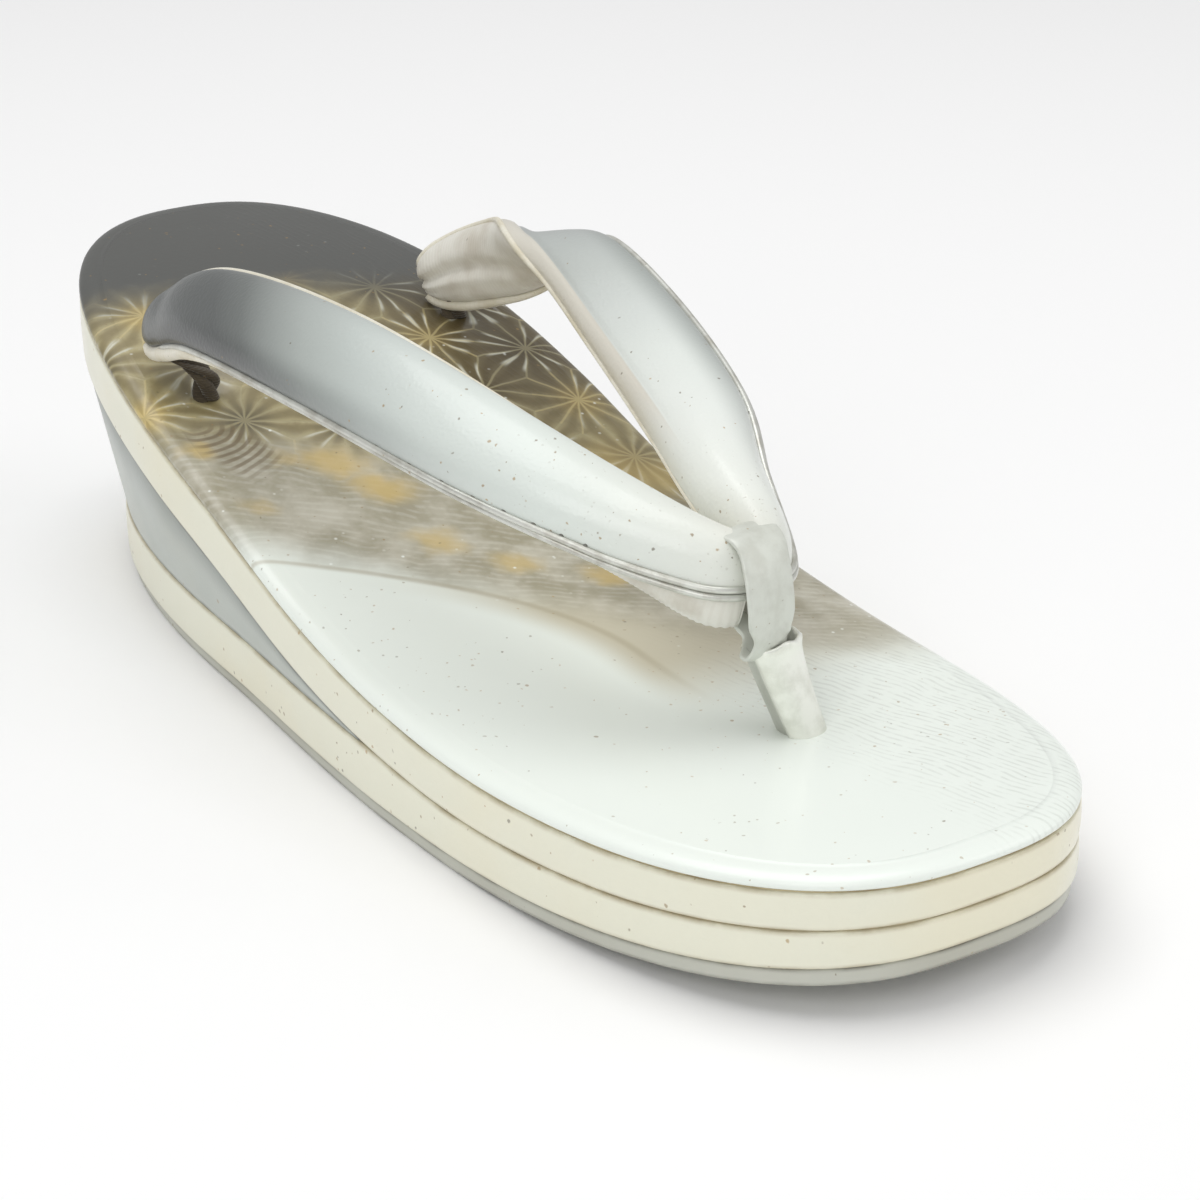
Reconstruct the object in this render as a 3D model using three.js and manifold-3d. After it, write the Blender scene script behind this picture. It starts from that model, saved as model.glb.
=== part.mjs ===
// A woman's zori: a stacked, wrapped sole with a raised heel, and a padded thong of two straps.
// Frame: millimetres, +Z up, toe towards -Y, heel towards +Y, X across, standing on z = 0.
// The last is the same on both sides of x = 0, as a zori's is; only the straps lie unevenly.
import * as THREE from "three";
import Module from "manifold-3d";

const wasm = await Module();
wasm.setup();

// ---- driving sizes ----
const LENGTH = 240;
const BALL_HALF_WIDTH = 42.9;
const HEEL_HALF_WIDTH = 41.4;
const TOE_CAP_LENGTH = 89.6;
const HEEL_CAP_LENGTH = 90.3;
const TOE_ROUNDNESS = 2.67;
const HEEL_ROUNDNESS = 2.45;

const GAP = 0.3;
const BED_EDGE = 2.24;
const BED_CROWN = 1.5;
const BED_COLUMNS = [-0.75, -0.4, 0, 0.4, 0.75]; // where the bed's face is read, as shares of its half width
// The bed's rolled edge, from its foot up: how far it is drawn in, and its share of BED_EDGE.
const BED_ROLL = [
  { inset: 0, rise: 0.4 },
  { inset: 0.5, rise: 0.8 },
  { inset: BED_EDGE, rise: 1 },
];
const OUTSOLE_TOE = 2.8;
const OUTSOLE_HEEL = 2.0;
const OUTSOLE_INSET = 0.8;
const UPPER_BAND_TOE = 5.8;
const UPPER_BAND_HEEL = 11.4;
const LOWER_BAND_TOE = 8.2;
const LOWER_BAND_HEEL = 9.5;
const HEEL_TUCK = 6.4;
const TOE_SPRING = 6.6;
const SPRING_REACH = 0.355;
const WEDGE_TIP = 0.6;
const EDGE_ROUND = 0.8;

// Height of the seam under the bed, evenly spaced from the toe to the heel.
const SEAM_PROFILE = [
  { place: "toe tip", height: 20.8 },
  { place: "toe joint", height: 18.0 },
  { place: "ball", height: 17.9 },
  { place: "waist", height: 23.5 },
  { place: "arch rise", height: 36.2 },
  { place: "heel front", height: 47.9 },
  { place: "heel end", height: 55.7 },
];

// Cross sections of each strap, from its back end to the toe joint. cover and lining are how far
// each side stands off the plane of the seams; lean is the angle in degrees by which the cover
// turns from facing outward (0) to facing up (90).
const LEFT_STRAP = [
  { x: -33.0, y: 66, z: 52.5, width: 6.0, cover: 2.0, lining: 1.5, lean: 20 },
  { x: -32.5, y: 58, z: 57.5, width: 10.5, cover: 2.9, lining: 2.1, lean: 28 },
  { x: -32.0, y: 41, z: 63.0, width: 15.0, cover: 4.1, lining: 2.9, lean: 38 },
  { x: -31.0, y: 4, z: 64.5, width: 17.0, cover: 4.9, lining: 3.6, lean: 45 },
  { x: -25.0, y: -33, z: 59.5, width: 16.0, cover: 5.5, lining: 4.0, lean: 54 },
  { x: -14.5, y: -52, z: 51.5, width: 14.0, cover: 7.0, lining: 6.0, lean: 68 },
  { x: -6.5, y: -63, z: 45.8, width: 11.0, cover: 7.8, lining: 7.6, lean: 85 },
];
const RIGHT_STRAP = [
  { x: 25.0, y: 69, z: 51.5, width: 6.0, cover: 2.0, lining: 1.5, lean: 10 },
  { x: 28.5, y: 61, z: 55.0, width: 13.0, cover: 2.9, lining: 2.1, lean: -8 },
  { x: 30.0, y: 49, z: 59.5, width: 14.0, cover: 3.2, lining: 2.3, lean: 5 },
  { x: 29.5, y: 36, z: 64.0, width: 14.0, cover: 3.5, lining: 2.5, lean: 60 },
  { x: 27.5, y: 22, z: 66.5, width: 14.0, cover: 3.8, lining: 2.7, lean: 108 },
  { x: 22.5, y: -2.5, z: 62.0, width: 16.0, cover: 4.3, lining: 3.1, lean: 115 },
  { x: 15.0, y: -29.5, z: 56.5, width: 16.0, cover: 5.2, lining: 3.8, lean: 110 },
  { x: 8.8, y: -46, z: 51.5, width: 13.0, cover: 6.7, lining: 5.6, lean: 100 },
  { x: 3.2, y: -63, z: 45.8, width: 9.5, cover: 7.8, lining: 7.6, lean: 90 },
];
const STRAP_SIDES = 14;
const STEPS_PER_ROW = 3;
const HEADING_STEP = 0.01; // how far to each side a strap's heading is read, as a share of its table

// The lacing cords that run from each strap's back end down into the bed.
const CORD_RADIUS = 2.5;
const CORD_SIDES = 8;
const CORD_STEPS = 6;
const HOLE_DEPTH = 12;
const HOLE_SIDES = 12;
const LEFT_CORD = [
  { x: -32.6, y: 64, z: 53 },
  { x: -30.6, y: 60.4, z: 50.0 },
  { x: -27.6, y: 56.1, z: 46.8 },
  { x: -27.5, y: 56, z: 42.4 },
];
const RIGHT_CORD = [
  { x: 28.2, y: 62, z: 54 },
  { x: 28.0, y: 63.5, z: 49 },
  { x: 28.0, y: 64, z: 44.9 },
];

// The leather loop round the toe joint, an upright oval band that slants towards the toe and turns
// a little to lie across both straps alike.
const LOOP = { x: -2.4, y: -66.5, z: 44.5, halfDepth: 6.2, halfHeight: 8.6, slant: 20, yaw: 10, wall: 1.3, width: 9.8 };
const KNOT_HALF_WIDTH = 6.5;
const OVAL_SEGMENTS = 14;

// The sleeve under the loop, from its mouth to its foot in the bed's front hole.
const POST = [
  { x: 0.3, y: -69.9, z: 35.7, halfWide: 4.8, halfDeep: 3.6 },
  { x: 1.2, y: -70.3, z: 32.0, halfWide: 4.5, halfDeep: 3.5 },
  { x: 3.0, y: -71.3, z: 26.0, halfWide: 4.0, halfDeep: 3.5 },
  { x: 4.6, y: -72.2, z: 21.0, halfWide: 3.7, halfDeep: 3.6 },
  { x: 5.3, y: -72.6, z: 18.5, halfWide: 3.7, halfDeep: 3.6 },
];
const POST_SIDES = 16;

// ---- the last's own functions; s runs from 0 at the toe tip to 1 at the heel end ----
const share = (y) => THREE.MathUtils.clamp((y + LENGTH / 2) / LENGTH, 0, 1);

// A smooth value at t, 0 to 1, through evenly spaced numbers.
function smoothThrough(values, t) {
  const last = values.length - 1;
  const at = THREE.MathUtils.clamp(t, 0, 1) * last;
  const i = Math.min(Math.floor(at), last - 1);
  const u = at - i;
  const b = values[i];
  const c = values[i + 1];
  const a = i > 0 ? values[i - 1] : 2 * b - c;
  const d = i + 2 <= last ? values[i + 2] : 2 * c - b;
  const linear = c - a;
  const square = 2 * a - 5 * b + 4 * c - d;
  const cube = 3 * b - a - 3 * c + d;
  return b + 0.5 * u * (linear + u * (square + u * cube));
}

const seamHeight = (y) => smoothThrough(SEAM_PROFILE.map((row) => row.height), share(y));
const groundClearance = (y) => TOE_SPRING * (Math.max(0, SPRING_REACH - share(y)) / SPRING_REACH) ** 2;
const outsoleTop = (y) => groundClearance(y) + THREE.MathUtils.lerp(OUTSOLE_TOE, OUTSOLE_HEEL, share(y));
const upperBandBottom = (y) => seamHeight(y) - THREE.MathUtils.lerp(UPPER_BAND_TOE, UPPER_BAND_HEEL, share(y));

function lowerBandTop(y) {
  const full = outsoleTop(y) + THREE.MathUtils.lerp(LOWER_BAND_TOE, LOWER_BAND_HEEL, share(y));
  return Math.min(full, upperBandBottom(y));
}

const wedgeHeight = (y) => upperBandBottom(y) - lowerBandTop(y);
const heelTuck = (y) => HEEL_TUCK * wedgeHeight(y) / wedgeHeight(LENGTH / 2);

function halfWidth(y) {
  const fromToe = y + LENGTH / 2;
  const fromHeel = LENGTH - fromToe;
  const cap = (width, part, roundness) =>
    width * Math.max(0, 1 - Math.abs(part) ** roundness) ** (1 / roundness);
  if (fromToe < TOE_CAP_LENGTH) {
    return cap(BALL_HALF_WIDTH, 1 - fromToe / TOE_CAP_LENGTH, TOE_ROUNDNESS);
  }
  if (fromHeel < HEEL_CAP_LENGTH) {
    return cap(HEEL_HALF_WIDTH, 1 - fromHeel / HEEL_CAP_LENGTH, HEEL_ROUNDNESS);
  }
  const waist = LENGTH - TOE_CAP_LENGTH - HEEL_CAP_LENGTH;
  const t = THREE.MathUtils.smoothstep(fromToe - TOE_CAP_LENGTH, 0, waist);
  return THREE.MathUtils.lerp(BALL_HALF_WIDTH, HEEL_HALF_WIDTH, t);
}

function bedTop(x, y) {
  const across = Math.min(1, Math.abs(x) / Math.max(halfWidth(y), 1));
  const along = 2 * share(y) - 1;
  return seamHeight(y) + BED_EDGE + BED_CROWN * (1 - across ** 2) * (1 - along ** 8);
}

// Where the middle wedge comes to its thin front edge.
function wedgeFront() {
  let low = -LENGTH / 2;
  let high = LENGTH / 2;
  while (high - low > 0.01) {
    const middle = (low + high) / 2;
    if (wedgeHeight(middle) < WEDGE_TIP + GAP) low = middle;
    else high = middle;
  }
  return high;
}

// Stations along the length, close together where the outline turns fastest.
function stations() {
  const steps = 9;
  const list = [wedgeFront()];
  for (let i = 1; i <= steps; i += 1) {
    const turn = Math.cos((i / steps) * Math.PI / 2);
    list.push(-LENGTH / 2 + TOE_CAP_LENGTH * (1 - turn ** (2 / TOE_ROUNDNESS)));
    list.push(LENGTH / 2 - HEEL_CAP_LENGTH * (1 - turn ** (2 / HEEL_ROUNDNESS)));
  }
  const waist = LENGTH - TOE_CAP_LENGTH - HEEL_CAP_LENGTH;
  list.push(-LENGTH / 2 + TOE_CAP_LENGTH + waist / 3);
  list.push(-LENGTH / 2 + TOE_CAP_LENGTH + 2 * waist / 3);
  return list.sort((a, b) => a - b);
}

const STATIONS = stations();
const SLOPE_STEP = 0.01; // how far to each side the outline's slope is read

// The right edge of the outline at station y, drawn in by inset along the outline's own normal.
function edgePoint(y, inset) {
  const ahead = Math.min(y + SLOPE_STEP, LENGTH / 2);
  const behind = Math.max(y - SLOPE_STEP, -LENGTH / 2);
  const slope = new THREE.Vector2(halfWidth(ahead) - halfWidth(behind), ahead - behind).normalize();
  return new THREE.Vector2(halfWidth(y) - inset * slope.y, y + inset * slope.x);
}

// ---- solids ----
function geometryFrom(points, faces) {
  const geometry = new THREE.BufferGeometry();
  geometry.setAttribute("position", new THREE.Float32BufferAttribute(points.flatMap((p) => p.toArray()), 3));
  geometry.setIndex(faces.flat());
  geometry.computeVertexNormals();
  return geometry;
}

// A layer between two surfaces. Each rim row gives an inset and a height; the first is the
// underside's rim and the last the top's. front, where given, cuts the layer square across there.
function layer({ rims, top, bottom, front = null, columns = [] }) {
  const points = [];
  const faces = [];
  const add = (x, y, z) => points.push(new THREE.Vector3(x, y, z)) - 1;
  const rows = STATIONS.filter((y) => front === null || y >= front - 1e-6);
  const rings = rims.map((rim) => {
    const right = rows.map((y) => {
      const edge = edgePoint(y, rim.inset(y));
      if (front !== null && y === rows[0]) edge.y = y;
      return edge;
    });
    const heel = LENGTH / 2 - rim.inset(LENGTH / 2);
    const toe = -LENGTH / 2 + rim.inset(-LENGTH / 2);
    const ring = {
      right: right.map((p) => add(p.x, p.y, rim.height(p.y))),
      left: right.map((p) => add(-p.x, p.y, rim.height(p.y))),
      heel: add(0, heel, rim.height(heel)),
      toe: front === null ? add(0, toe, rim.height(toe)) : null,
    };
    ring.loop = [...(front === null ? [ring.toe] : []), ...ring.right, ring.heel, ...ring.left.slice().reverse()];
    return ring;
  });
  for (let k = 0; k + 1 < rings.length; k += 1) {
    const low = rings[k].loop;
    const high = rings[k + 1].loop;
    low.forEach((a, i) => {
      const next = (i + 1) % low.length;
      faces.push([a, low[next], high[next]], [a, high[next], high[i]]);
    });
  }
  const cover = (ring, surface, flip) => {
    const push = (a, b, c) => faces.push(flip ? [a, c, b] : [a, b, c]);
    const lines = rows.map((y, i) => {
      const edge = points[ring.right[i]];
      const inner = surface ? columns.map((part) => add(part * edge.x, edge.y, surface(part * edge.x, edge.y))) : [];
      return [ring.left[i], ...inner, ring.right[i]];
    });
    for (let i = 0; i + 1 < lines.length; i += 1) {
      for (let j = 0; j + 1 < lines[i].length; j += 1) {
        push(lines[i][j], lines[i][j + 1], lines[i + 1][j + 1]);
        push(lines[i][j], lines[i + 1][j + 1], lines[i + 1][j]);
      }
    }
    const ends = lines[0];
    const back = lines[lines.length - 1];
    for (let j = 0; j + 1 < ends.length; j += 1) {
      if (ring.toe !== null) push(ring.toe, ends[j + 1], ends[j]);
      push(back[j], back[j + 1], ring.heel);
    }
  };
  cover(rings[0], bottom, true);
  cover(rings[rings.length - 1], top, false);
  return geometryFrom(points, faces);
}

// A closed skin over cross sections that all have the same number of points.
function loft(sections) {
  const sides = sections[0].length;
  const points = sections.flat();
  const faces = [];
  for (let k = 0; k + 1 < sections.length; k += 1) {
    for (let i = 0; i < sides; i += 1) {
      const a = k * sides + i;
      const b = k * sides + (i + 1) % sides;
      faces.push([a, b, b + sides], [a, b + sides, a + sides]);
    }
  }
  const last = (sections.length - 1) * sides;
  for (let i = 1; i + 1 < sides; i += 1) {
    faces.push([0, i + 1, i], [last, last + i, last + i + 1]);
  }
  return geometryFrom(points, faces);
}

// A solid from a closed geometry; one whose faces look inward is turned inside out.
function toSolid(geometry) {
  const vertProperties = new Float32Array(geometry.getAttribute("position").array);
  const triVerts = new Uint32Array(geometry.getIndex().array);
  const solid = new wasm.Manifold(new wasm.Mesh({ numProp: 3, vertProperties, triVerts }));
  if (solid.volume() > 0) return solid;
  return new wasm.Manifold(new wasm.Mesh({ numProp: 3, vertProperties, triVerts: triVerts.reverse() }));
}

function fromSolid(solid) {
  const mesh = solid.getMesh();
  const geometry = new THREE.BufferGeometry();
  geometry.setAttribute("position", new THREE.Float32BufferAttribute(mesh.vertProperties, 3));
  geometry.setIndex(Array.from(mesh.triVerts));
  geometry.computeVertexNormals();
  return geometry;
}

// ---- the sole's layers ----
const flat = (value) => () => value;

function roundedBand(bottom, top, inset) {
  return [
    { inset: (y) => inset(y) + EDGE_ROUND / 2, height: (y) => bottom(y) + GAP / 2 },
    { inset, height: (y) => bottom(y) + GAP / 2 + EDGE_ROUND },
    { inset, height: (y) => top(y) - GAP / 2 - EDGE_ROUND },
    { inset: (y) => inset(y) + EDGE_ROUND / 2, height: (y) => top(y) - GAP / 2 },
  ];
}

const makeTopLayer = () => layer({ rims: roundedBand(upperBandBottom, seamHeight, flat(0)) });
const makeLowerLayer = () => layer({ rims: roundedBand(outsoleTop, lowerBandTop, heelTuck) });

function makeMiddleWedge() {
  return layer({
    front: wedgeFront(),
    rims: [
      { inset: (y) => heelTuck(y) + EDGE_ROUND / 2, height: (y) => lowerBandTop(y) + GAP / 2 },
      { inset: flat(EDGE_ROUND / 2), height: (y) => upperBandBottom(y) - GAP / 2 },
    ],
  });
}

function makeOutsole() {
  const inset = (y) => heelTuck(y) + OUTSOLE_INSET;
  return layer({
    rims: [
      { inset, height: groundClearance },
      { inset, height: (y) => outsoleTop(y) - GAP / 2 },
    ],
  });
}

// ---- straps, loop and sleeve ----
function strapSections(rows, side) {
  const value = (name, t) => smoothThrough(rows.map((row) => row[name]), t);
  const centre = (t) => new THREE.Vector3(value("x", t), value("y", t), value("z", t));
  const outward = new THREE.Vector3(side, 0, 0);
  const up = new THREE.Vector3(0, 0, 1);
  const steps = (rows.length - 1) * STEPS_PER_ROW;
  const sections = [];
  for (let k = 0; k <= steps; k += 1) {
    const t = k / steps;
    const middle = centre(t);
    const heading = centre(t + HEADING_STEP).sub(centre(t - HEADING_STEP)).normalize();
    const lean = THREE.MathUtils.degToRad(value("lean", t));
    const facing = outward.clone().multiplyScalar(Math.cos(lean)).addScaledVector(up, Math.sin(lean));
    facing.addScaledVector(heading, -facing.dot(heading)).normalize();
    const across = new THREE.Vector3().crossVectors(heading, facing).multiplyScalar(side);
    const section = [];
    for (let i = 0; i < STRAP_SIDES; i += 1) {
      const angle = (i / STRAP_SIDES) * 2 * Math.PI;
      const depth = value(Math.sin(angle) > 0 ? "cover" : "lining", t);
      section.push(middle.clone()
        .addScaledVector(across, Math.cos(angle) * value("width", t) / 2)
        .addScaledVector(facing, Math.sin(angle) * depth));
    }
    sections.push(section);
  }
  return sections;
}

function cordSections(rows, radius) {
  const curve = new THREE.CatmullRomCurve3(rows.map((row) => new THREE.Vector3(row.x, row.y, row.z)));
  const sections = [];
  for (let k = 0; k <= CORD_STEPS; k += 1) {
    const middle = curve.getPoint(k / CORD_STEPS);
    const ring = [];
    for (let i = 0; i < CORD_SIDES; i += 1) {
      const angle = (i / CORD_SIDES) * 2 * Math.PI;
      ring.push(new THREE.Vector3(radius * Math.cos(angle), radius * Math.sin(angle), 0).add(middle));
    }
    sections.push(ring);
  }
  return sections;
}

// An oval bar across the joint, spread by grow on every side.
function ovalBar(halfDepth, halfHeight, halfWide) {
  const shape = new THREE.Shape();
  shape.absellipse(0, 0, halfDepth, halfHeight, 0, 2 * Math.PI);
  const bar = new THREE.ExtrudeGeometry(shape, { depth: 2 * halfWide, bevelEnabled: false, curveSegments: OVAL_SEGMENTS });
  bar.translate(0, 0, -halfWide);
  const place = new THREE.Matrix4().makeBasis(
    new THREE.Vector3(0, 1, 0), new THREE.Vector3(0, 0, 1), new THREE.Vector3(1, 0, 0));
  bar.applyMatrix4(place);
  bar.rotateX(-THREE.MathUtils.degToRad(LOOP.slant));
  bar.rotateZ(THREE.MathUtils.degToRad(LOOP.yaw));
  bar.translate(LOOP.x, LOOP.y, LOOP.z);
  bar.deleteAttribute("normal");
  bar.deleteAttribute("uv");
  return toSolid(weld(bar));
}

// The same geometry with its corners shared between faces.
function weld(geometry) {
  const seen = new Map();
  const position = geometry.getAttribute("position");
  const points = [];
  const index = [];
  for (let i = 0; i < position.count; i += 1) {
    const point = new THREE.Vector3().fromBufferAttribute(position, i);
    const key = point.toArray().map((value) => value.toFixed(4)).join(" ");
    if (!seen.has(key)) seen.set(key, points.push(point) - 1);
    index.push(seen.get(key));
  }
  const faces = [];
  for (let i = 0; i < index.length; i += 3) faces.push(index.slice(i, i + 3));
  return geometryFrom(points, faces);
}

// The loop's band, spread by a gap on every side when it serves as a cutter.
function loopBand(spread) {
  const outer = ovalBar(LOOP.halfDepth + spread, LOOP.halfHeight + spread, LOOP.width / 2 + spread);
  const inner = ovalBar(
    LOOP.halfDepth - LOOP.wall - spread, LOOP.halfHeight - LOOP.wall - spread, LOOP.width);
  return outer.subtract(inner);
}

function makeUpper() {
  const left = toSolid(loft(strapSections(LEFT_STRAP, -1)));
  const right = toSolid(loft(strapSections(RIGHT_STRAP, 1)));
  const cords = [LEFT_CORD, RIGHT_CORD].map((rows) => toSolid(loft(cordSections(rows, CORD_RADIUS))));
  const knot = ovalBar(LOOP.halfDepth - LOOP.wall, LOOP.halfHeight - LOOP.wall, KNOT_HALF_WIDTH);
  const whole = left.add(right).add(knot).add(cords[0]).add(cords[1]);
  return fromSolid(whole.subtract(loopBand(GAP)));
}

function postRing(row, spread) {
  const ring = [];
  for (let i = 0; i < POST_SIDES; i += 1) {
    const angle = (i / POST_SIDES) * 2 * Math.PI;
    const x = row.x + (row.halfWide + spread) * Math.cos(angle);
    const y = row.y + (row.halfDeep + spread) * Math.sin(angle);
    ring.push(new THREE.Vector3(x, y, row.z));
  }
  return ring;
}

// The hole for the sleeve: the sleeve's own form, a gap wider, carried on past its foot.
function postHole() {
  const [shin, foot] = POST.slice(-2);
  const below = { ...foot, x: 2 * foot.x - shin.x, y: 2 * foot.y - shin.y, z: 2 * foot.z - shin.z };
  return loft([...POST, below].map((row) => postRing(row, GAP)));
}

function makeBed() {
  const rims = [
    { inset: flat(EDGE_ROUND), height: (y) => seamHeight(y) + GAP / 2 },
    ...BED_ROLL.map(({ inset, rise }) => ({ inset: flat(inset), height: (y) => seamHeight(y) + rise * BED_EDGE })),
  ];
  const board = toSolid(layer({ rims, top: bedTop, columns: BED_COLUMNS }));
  const holes = [LEFT_CORD, RIGHT_CORD].map((rows) => {
    const foot = rows[rows.length - 1];
    const drill = new THREE.CylinderGeometry(CORD_RADIUS + GAP, CORD_RADIUS + GAP, HOLE_DEPTH, HOLE_SIDES);
    drill.rotateX(Math.PI / 2);
    drill.translate(foot.x, foot.y, foot.z);
    return toSolid(weld(drill.toNonIndexed()));
  });
  const front = toSolid(postHole());
  return fromSolid(board.subtract(holes[0]).subtract(holes[1]).subtract(front));
}

// ---- the assembly ----
function piece(name, geometry, color, roughness, metalness) {
  const mesh = new THREE.Mesh(geometry, new THREE.MeshStandardMaterial({ color, roughness, metalness }));
  mesh.name = name;
  return mesh;
}

const sole = new THREE.Group();
sole.add(
  piece("bed", makeBed(), 0xb9b4a6, 0.25, 0.1),
  piece("top_layer", makeTopLayer(), 0xe2dfcb, 0.35, 0),
  piece("middle_wedge", makeMiddleWedge(), 0xaeb2b0, 0.4, 0.1),
  piece("lower_layer", makeLowerLayer(), 0xe2dfcb, 0.35, 0),
  piece("outsole", makeOutsole(), 0xbcbcb6, 0.6, 0),
);

const thong = new THREE.Group();
thong.add(
  piece("upper", makeUpper(), 0xcfd6d6, 0.3, 0.05),
  piece("toe_loop", fromSolid(loopBand(0)), 0xc4c5c0, 0.4, 0.3),
  piece("toe_post", loft(POST.map((row) => postRing(row, 0)).reverse()), 0xcfcfc8, 0.3, 0.5),
);

const zori = new THREE.Group();
zori.add(sole, thong);

export default zori;
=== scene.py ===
"""The finish of a woman's zori: an enamelled, stacked sole and a padded thong of two straps.

Lengths in the tables are millimetres in the sandal's own frame: toe towards -Y, heel towards +Y,
X across, Z up from the ground. Meshes are made in metres.
"""

import logging
import math
from dataclasses import dataclass, field
from enum import Enum
from typing import Callable, Sequence

import bmesh
import bpy
import numpy as np
from mathutils import Matrix, Vector


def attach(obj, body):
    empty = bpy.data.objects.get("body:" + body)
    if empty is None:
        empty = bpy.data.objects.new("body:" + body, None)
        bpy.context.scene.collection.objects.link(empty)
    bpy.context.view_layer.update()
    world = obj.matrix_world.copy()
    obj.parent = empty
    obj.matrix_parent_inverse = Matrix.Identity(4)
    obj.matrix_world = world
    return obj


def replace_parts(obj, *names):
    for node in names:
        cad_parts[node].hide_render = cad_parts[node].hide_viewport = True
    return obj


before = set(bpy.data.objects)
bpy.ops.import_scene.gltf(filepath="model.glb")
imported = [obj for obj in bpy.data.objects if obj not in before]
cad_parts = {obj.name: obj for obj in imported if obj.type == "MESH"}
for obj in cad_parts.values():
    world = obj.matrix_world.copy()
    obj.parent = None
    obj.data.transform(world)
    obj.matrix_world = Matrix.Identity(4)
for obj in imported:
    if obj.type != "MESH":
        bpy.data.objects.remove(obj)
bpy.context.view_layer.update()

LOG = logging.getLogger("zori")
MM = 0.001
BODY = "root"
GLOSSIEST = 0.285
LEATHER_PORES = 1500.0
COVER_FULLNESS = 0.85
FAR_FROM_SEAM = 9.0
Array = np.ndarray
Curve = Callable[[Array], Array]
Surface = Callable[[Array, Array], Array]
Piece = bpy.types.Object
Material = bpy.types.Material
NodeTree = bpy.types.NodeTree
Node = bpy.types.Node
Socket = bpy.types.NodeSocket
Colour = tuple[float, float, float, float]


class Slot(Enum):
    """The record's material slots."""

    BED = "bed_enamel"
    CREAM = "cream_wrap"
    GREY = "grey_wrap"
    SOLE = "sole_leather"
    STRAP = "strap_enamel"
    SILVER = "silver_leather"


class Side(Enum):
    """The side of the sandal that a strap lies on, as the sign of its X."""

    LEFT = -1
    RIGHT = 1


def srgb(red: int, green: int, blue: int) -> Colour:
    """Turns a display colour into the linear colour that shaders take.

    Args:
        red: Red, 0 to 255.
        green: Green, 0 to 255.
        blue: Blue, 0 to 255.

    Returns:
        The linear colour with an alpha of 1.
    """

    def linear(part: int) -> float:
        """One channel, from display to linear."""
        value = part / 255
        return value / 12.92 if value <= 0.04045 else ((value + 0.055) / 1.055) ** 2.4

    return (linear(red), linear(green), linear(blue), 1.0)


def smooth_through(values: Sequence[float], t: Array) -> Array:
    """A smooth curve through evenly spaced numbers.

    Args:
        values: The numbers that the curve passes through.
        t: Where to read it, 0 at the first number and 1 at the last.

    Returns:
        The curve's value at each t.
    """
    table = np.asarray(values, float)
    last = len(table) - 1
    at = np.clip(np.asarray(t, float), 0, 1) * last
    i = np.minimum(at.astype(int), last - 1)
    u = at - i
    ends = np.concatenate([[2 * table[0] - table[1]], table, [2 * table[-1] - table[-2]]])
    a, b, c, d = ends[i], ends[i + 1], ends[i + 2], ends[i + 3]
    cube = 3 * b - a - 3 * c + d
    return b + 0.5 * u * ((c - a) + u * ((2 * a - 5 * b + 4 * c - d) + u * cube))


def ease(value: Array, low: float, high: float) -> Array:
    """Rises smoothly from 0 at low to 1 at high."""
    t = np.clip((np.asarray(value, float) - low) / (high - low), 0, 1)
    return t * t * (3 - 2 * t)


def unit(vectors: Array) -> Array:
    """The same directions, each of length 1."""
    return vectors / np.linalg.norm(vectors, axis=-1, keepdims=True)


def run_length(path: Array) -> Array:
    """The length along a path at each of its points."""
    return np.concatenate([[0], np.cumsum(np.linalg.norm(np.diff(path, axis=0), axis=1))])


def full_turn(sides: int) -> Array:
    """Even angles once round."""
    return np.linspace(0, 2 * np.pi, sides, endpoint=False)


# ---------------------------------------------------------------- meshes


def add_mesh(name: str, points: Array, faces: Sequence[Sequence[int]], lay: Array | None = None) -> Piece:
    """Makes a smooth mesh object from points in millimetres.

    Args:
        name: The piece's name.
        points: One row of X, Y, Z for each vertex.
        faces: Vertex numbers of each face.
        lay: One row of three surface measures for each vertex, kept as the attribute "lay".

    Returns:
        The new object, with its normals outward.
    """
    mesh = bpy.data.meshes.new(name)
    mesh.from_pydata((np.asarray(points, float) * MM).tolist(), [], [list(face) for face in faces])
    if lay is not None:
        attribute = mesh.attributes.new("lay", "FLOAT_VECTOR", "POINT")
        attribute.data.foreach_set("vector", np.asarray(lay, np.float32).ravel())
    work = bmesh.new()
    work.from_mesh(mesh)
    bmesh.ops.recalc_face_normals(work, faces=work.faces)
    work.to_mesh(mesh)
    work.free()
    mesh.shade_smooth()
    piece = bpy.data.objects.new(name, mesh)
    bpy.context.scene.collection.objects.link(piece)
    return piece


def tube_faces(rings: int, sides: int, closed: bool = False) -> list[tuple[int, ...]]:
    """Faces of a skin over rings of points.

    Args:
        rings: How many rings there are.
        sides: Points in each ring.
        closed: Whether the last ring joins the first.

    Returns:
        The faces; an open tube gets a flat end on each side.
    """
    faces: list[tuple[int, ...]] = []
    for k in range(rings if closed else rings - 1):
        here = k * sides
        there = ((k + 1) % rings) * sides
        for i in range(sides):
            j = (i + 1) % sides
            faces.append((here + i, here + j, there + j, there + i))
    if not closed:
        faces.append(tuple(range(sides - 1, -1, -1)))
        faces.append(tuple((rings - 1) * sides + i for i in range(sides)))
    return faces


def add_skins(name: str, skins: Sequence[Array], lay: Array | None = None) -> Piece:
    """Makes one mesh of several skins, each closed with a flat end.

    Args:
        name: The piece's name.
        skins: For each skin, its rings of points: ring, side, X Y Z.
        lay: The surface measures of all points in turn.

    Returns:
        The new object.
    """
    faces: list[tuple[int, ...]] = []
    total = 0
    for skin in skins:
        rings, sides = skin.shape[:2]
        faces += [tuple(total + i for i in face) for face in tube_faces(rings, sides)]
        total += rings * sides
    return add_mesh(name, np.concatenate([skin.reshape(-1, 3) for skin in skins]), faces, lay)


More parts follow.
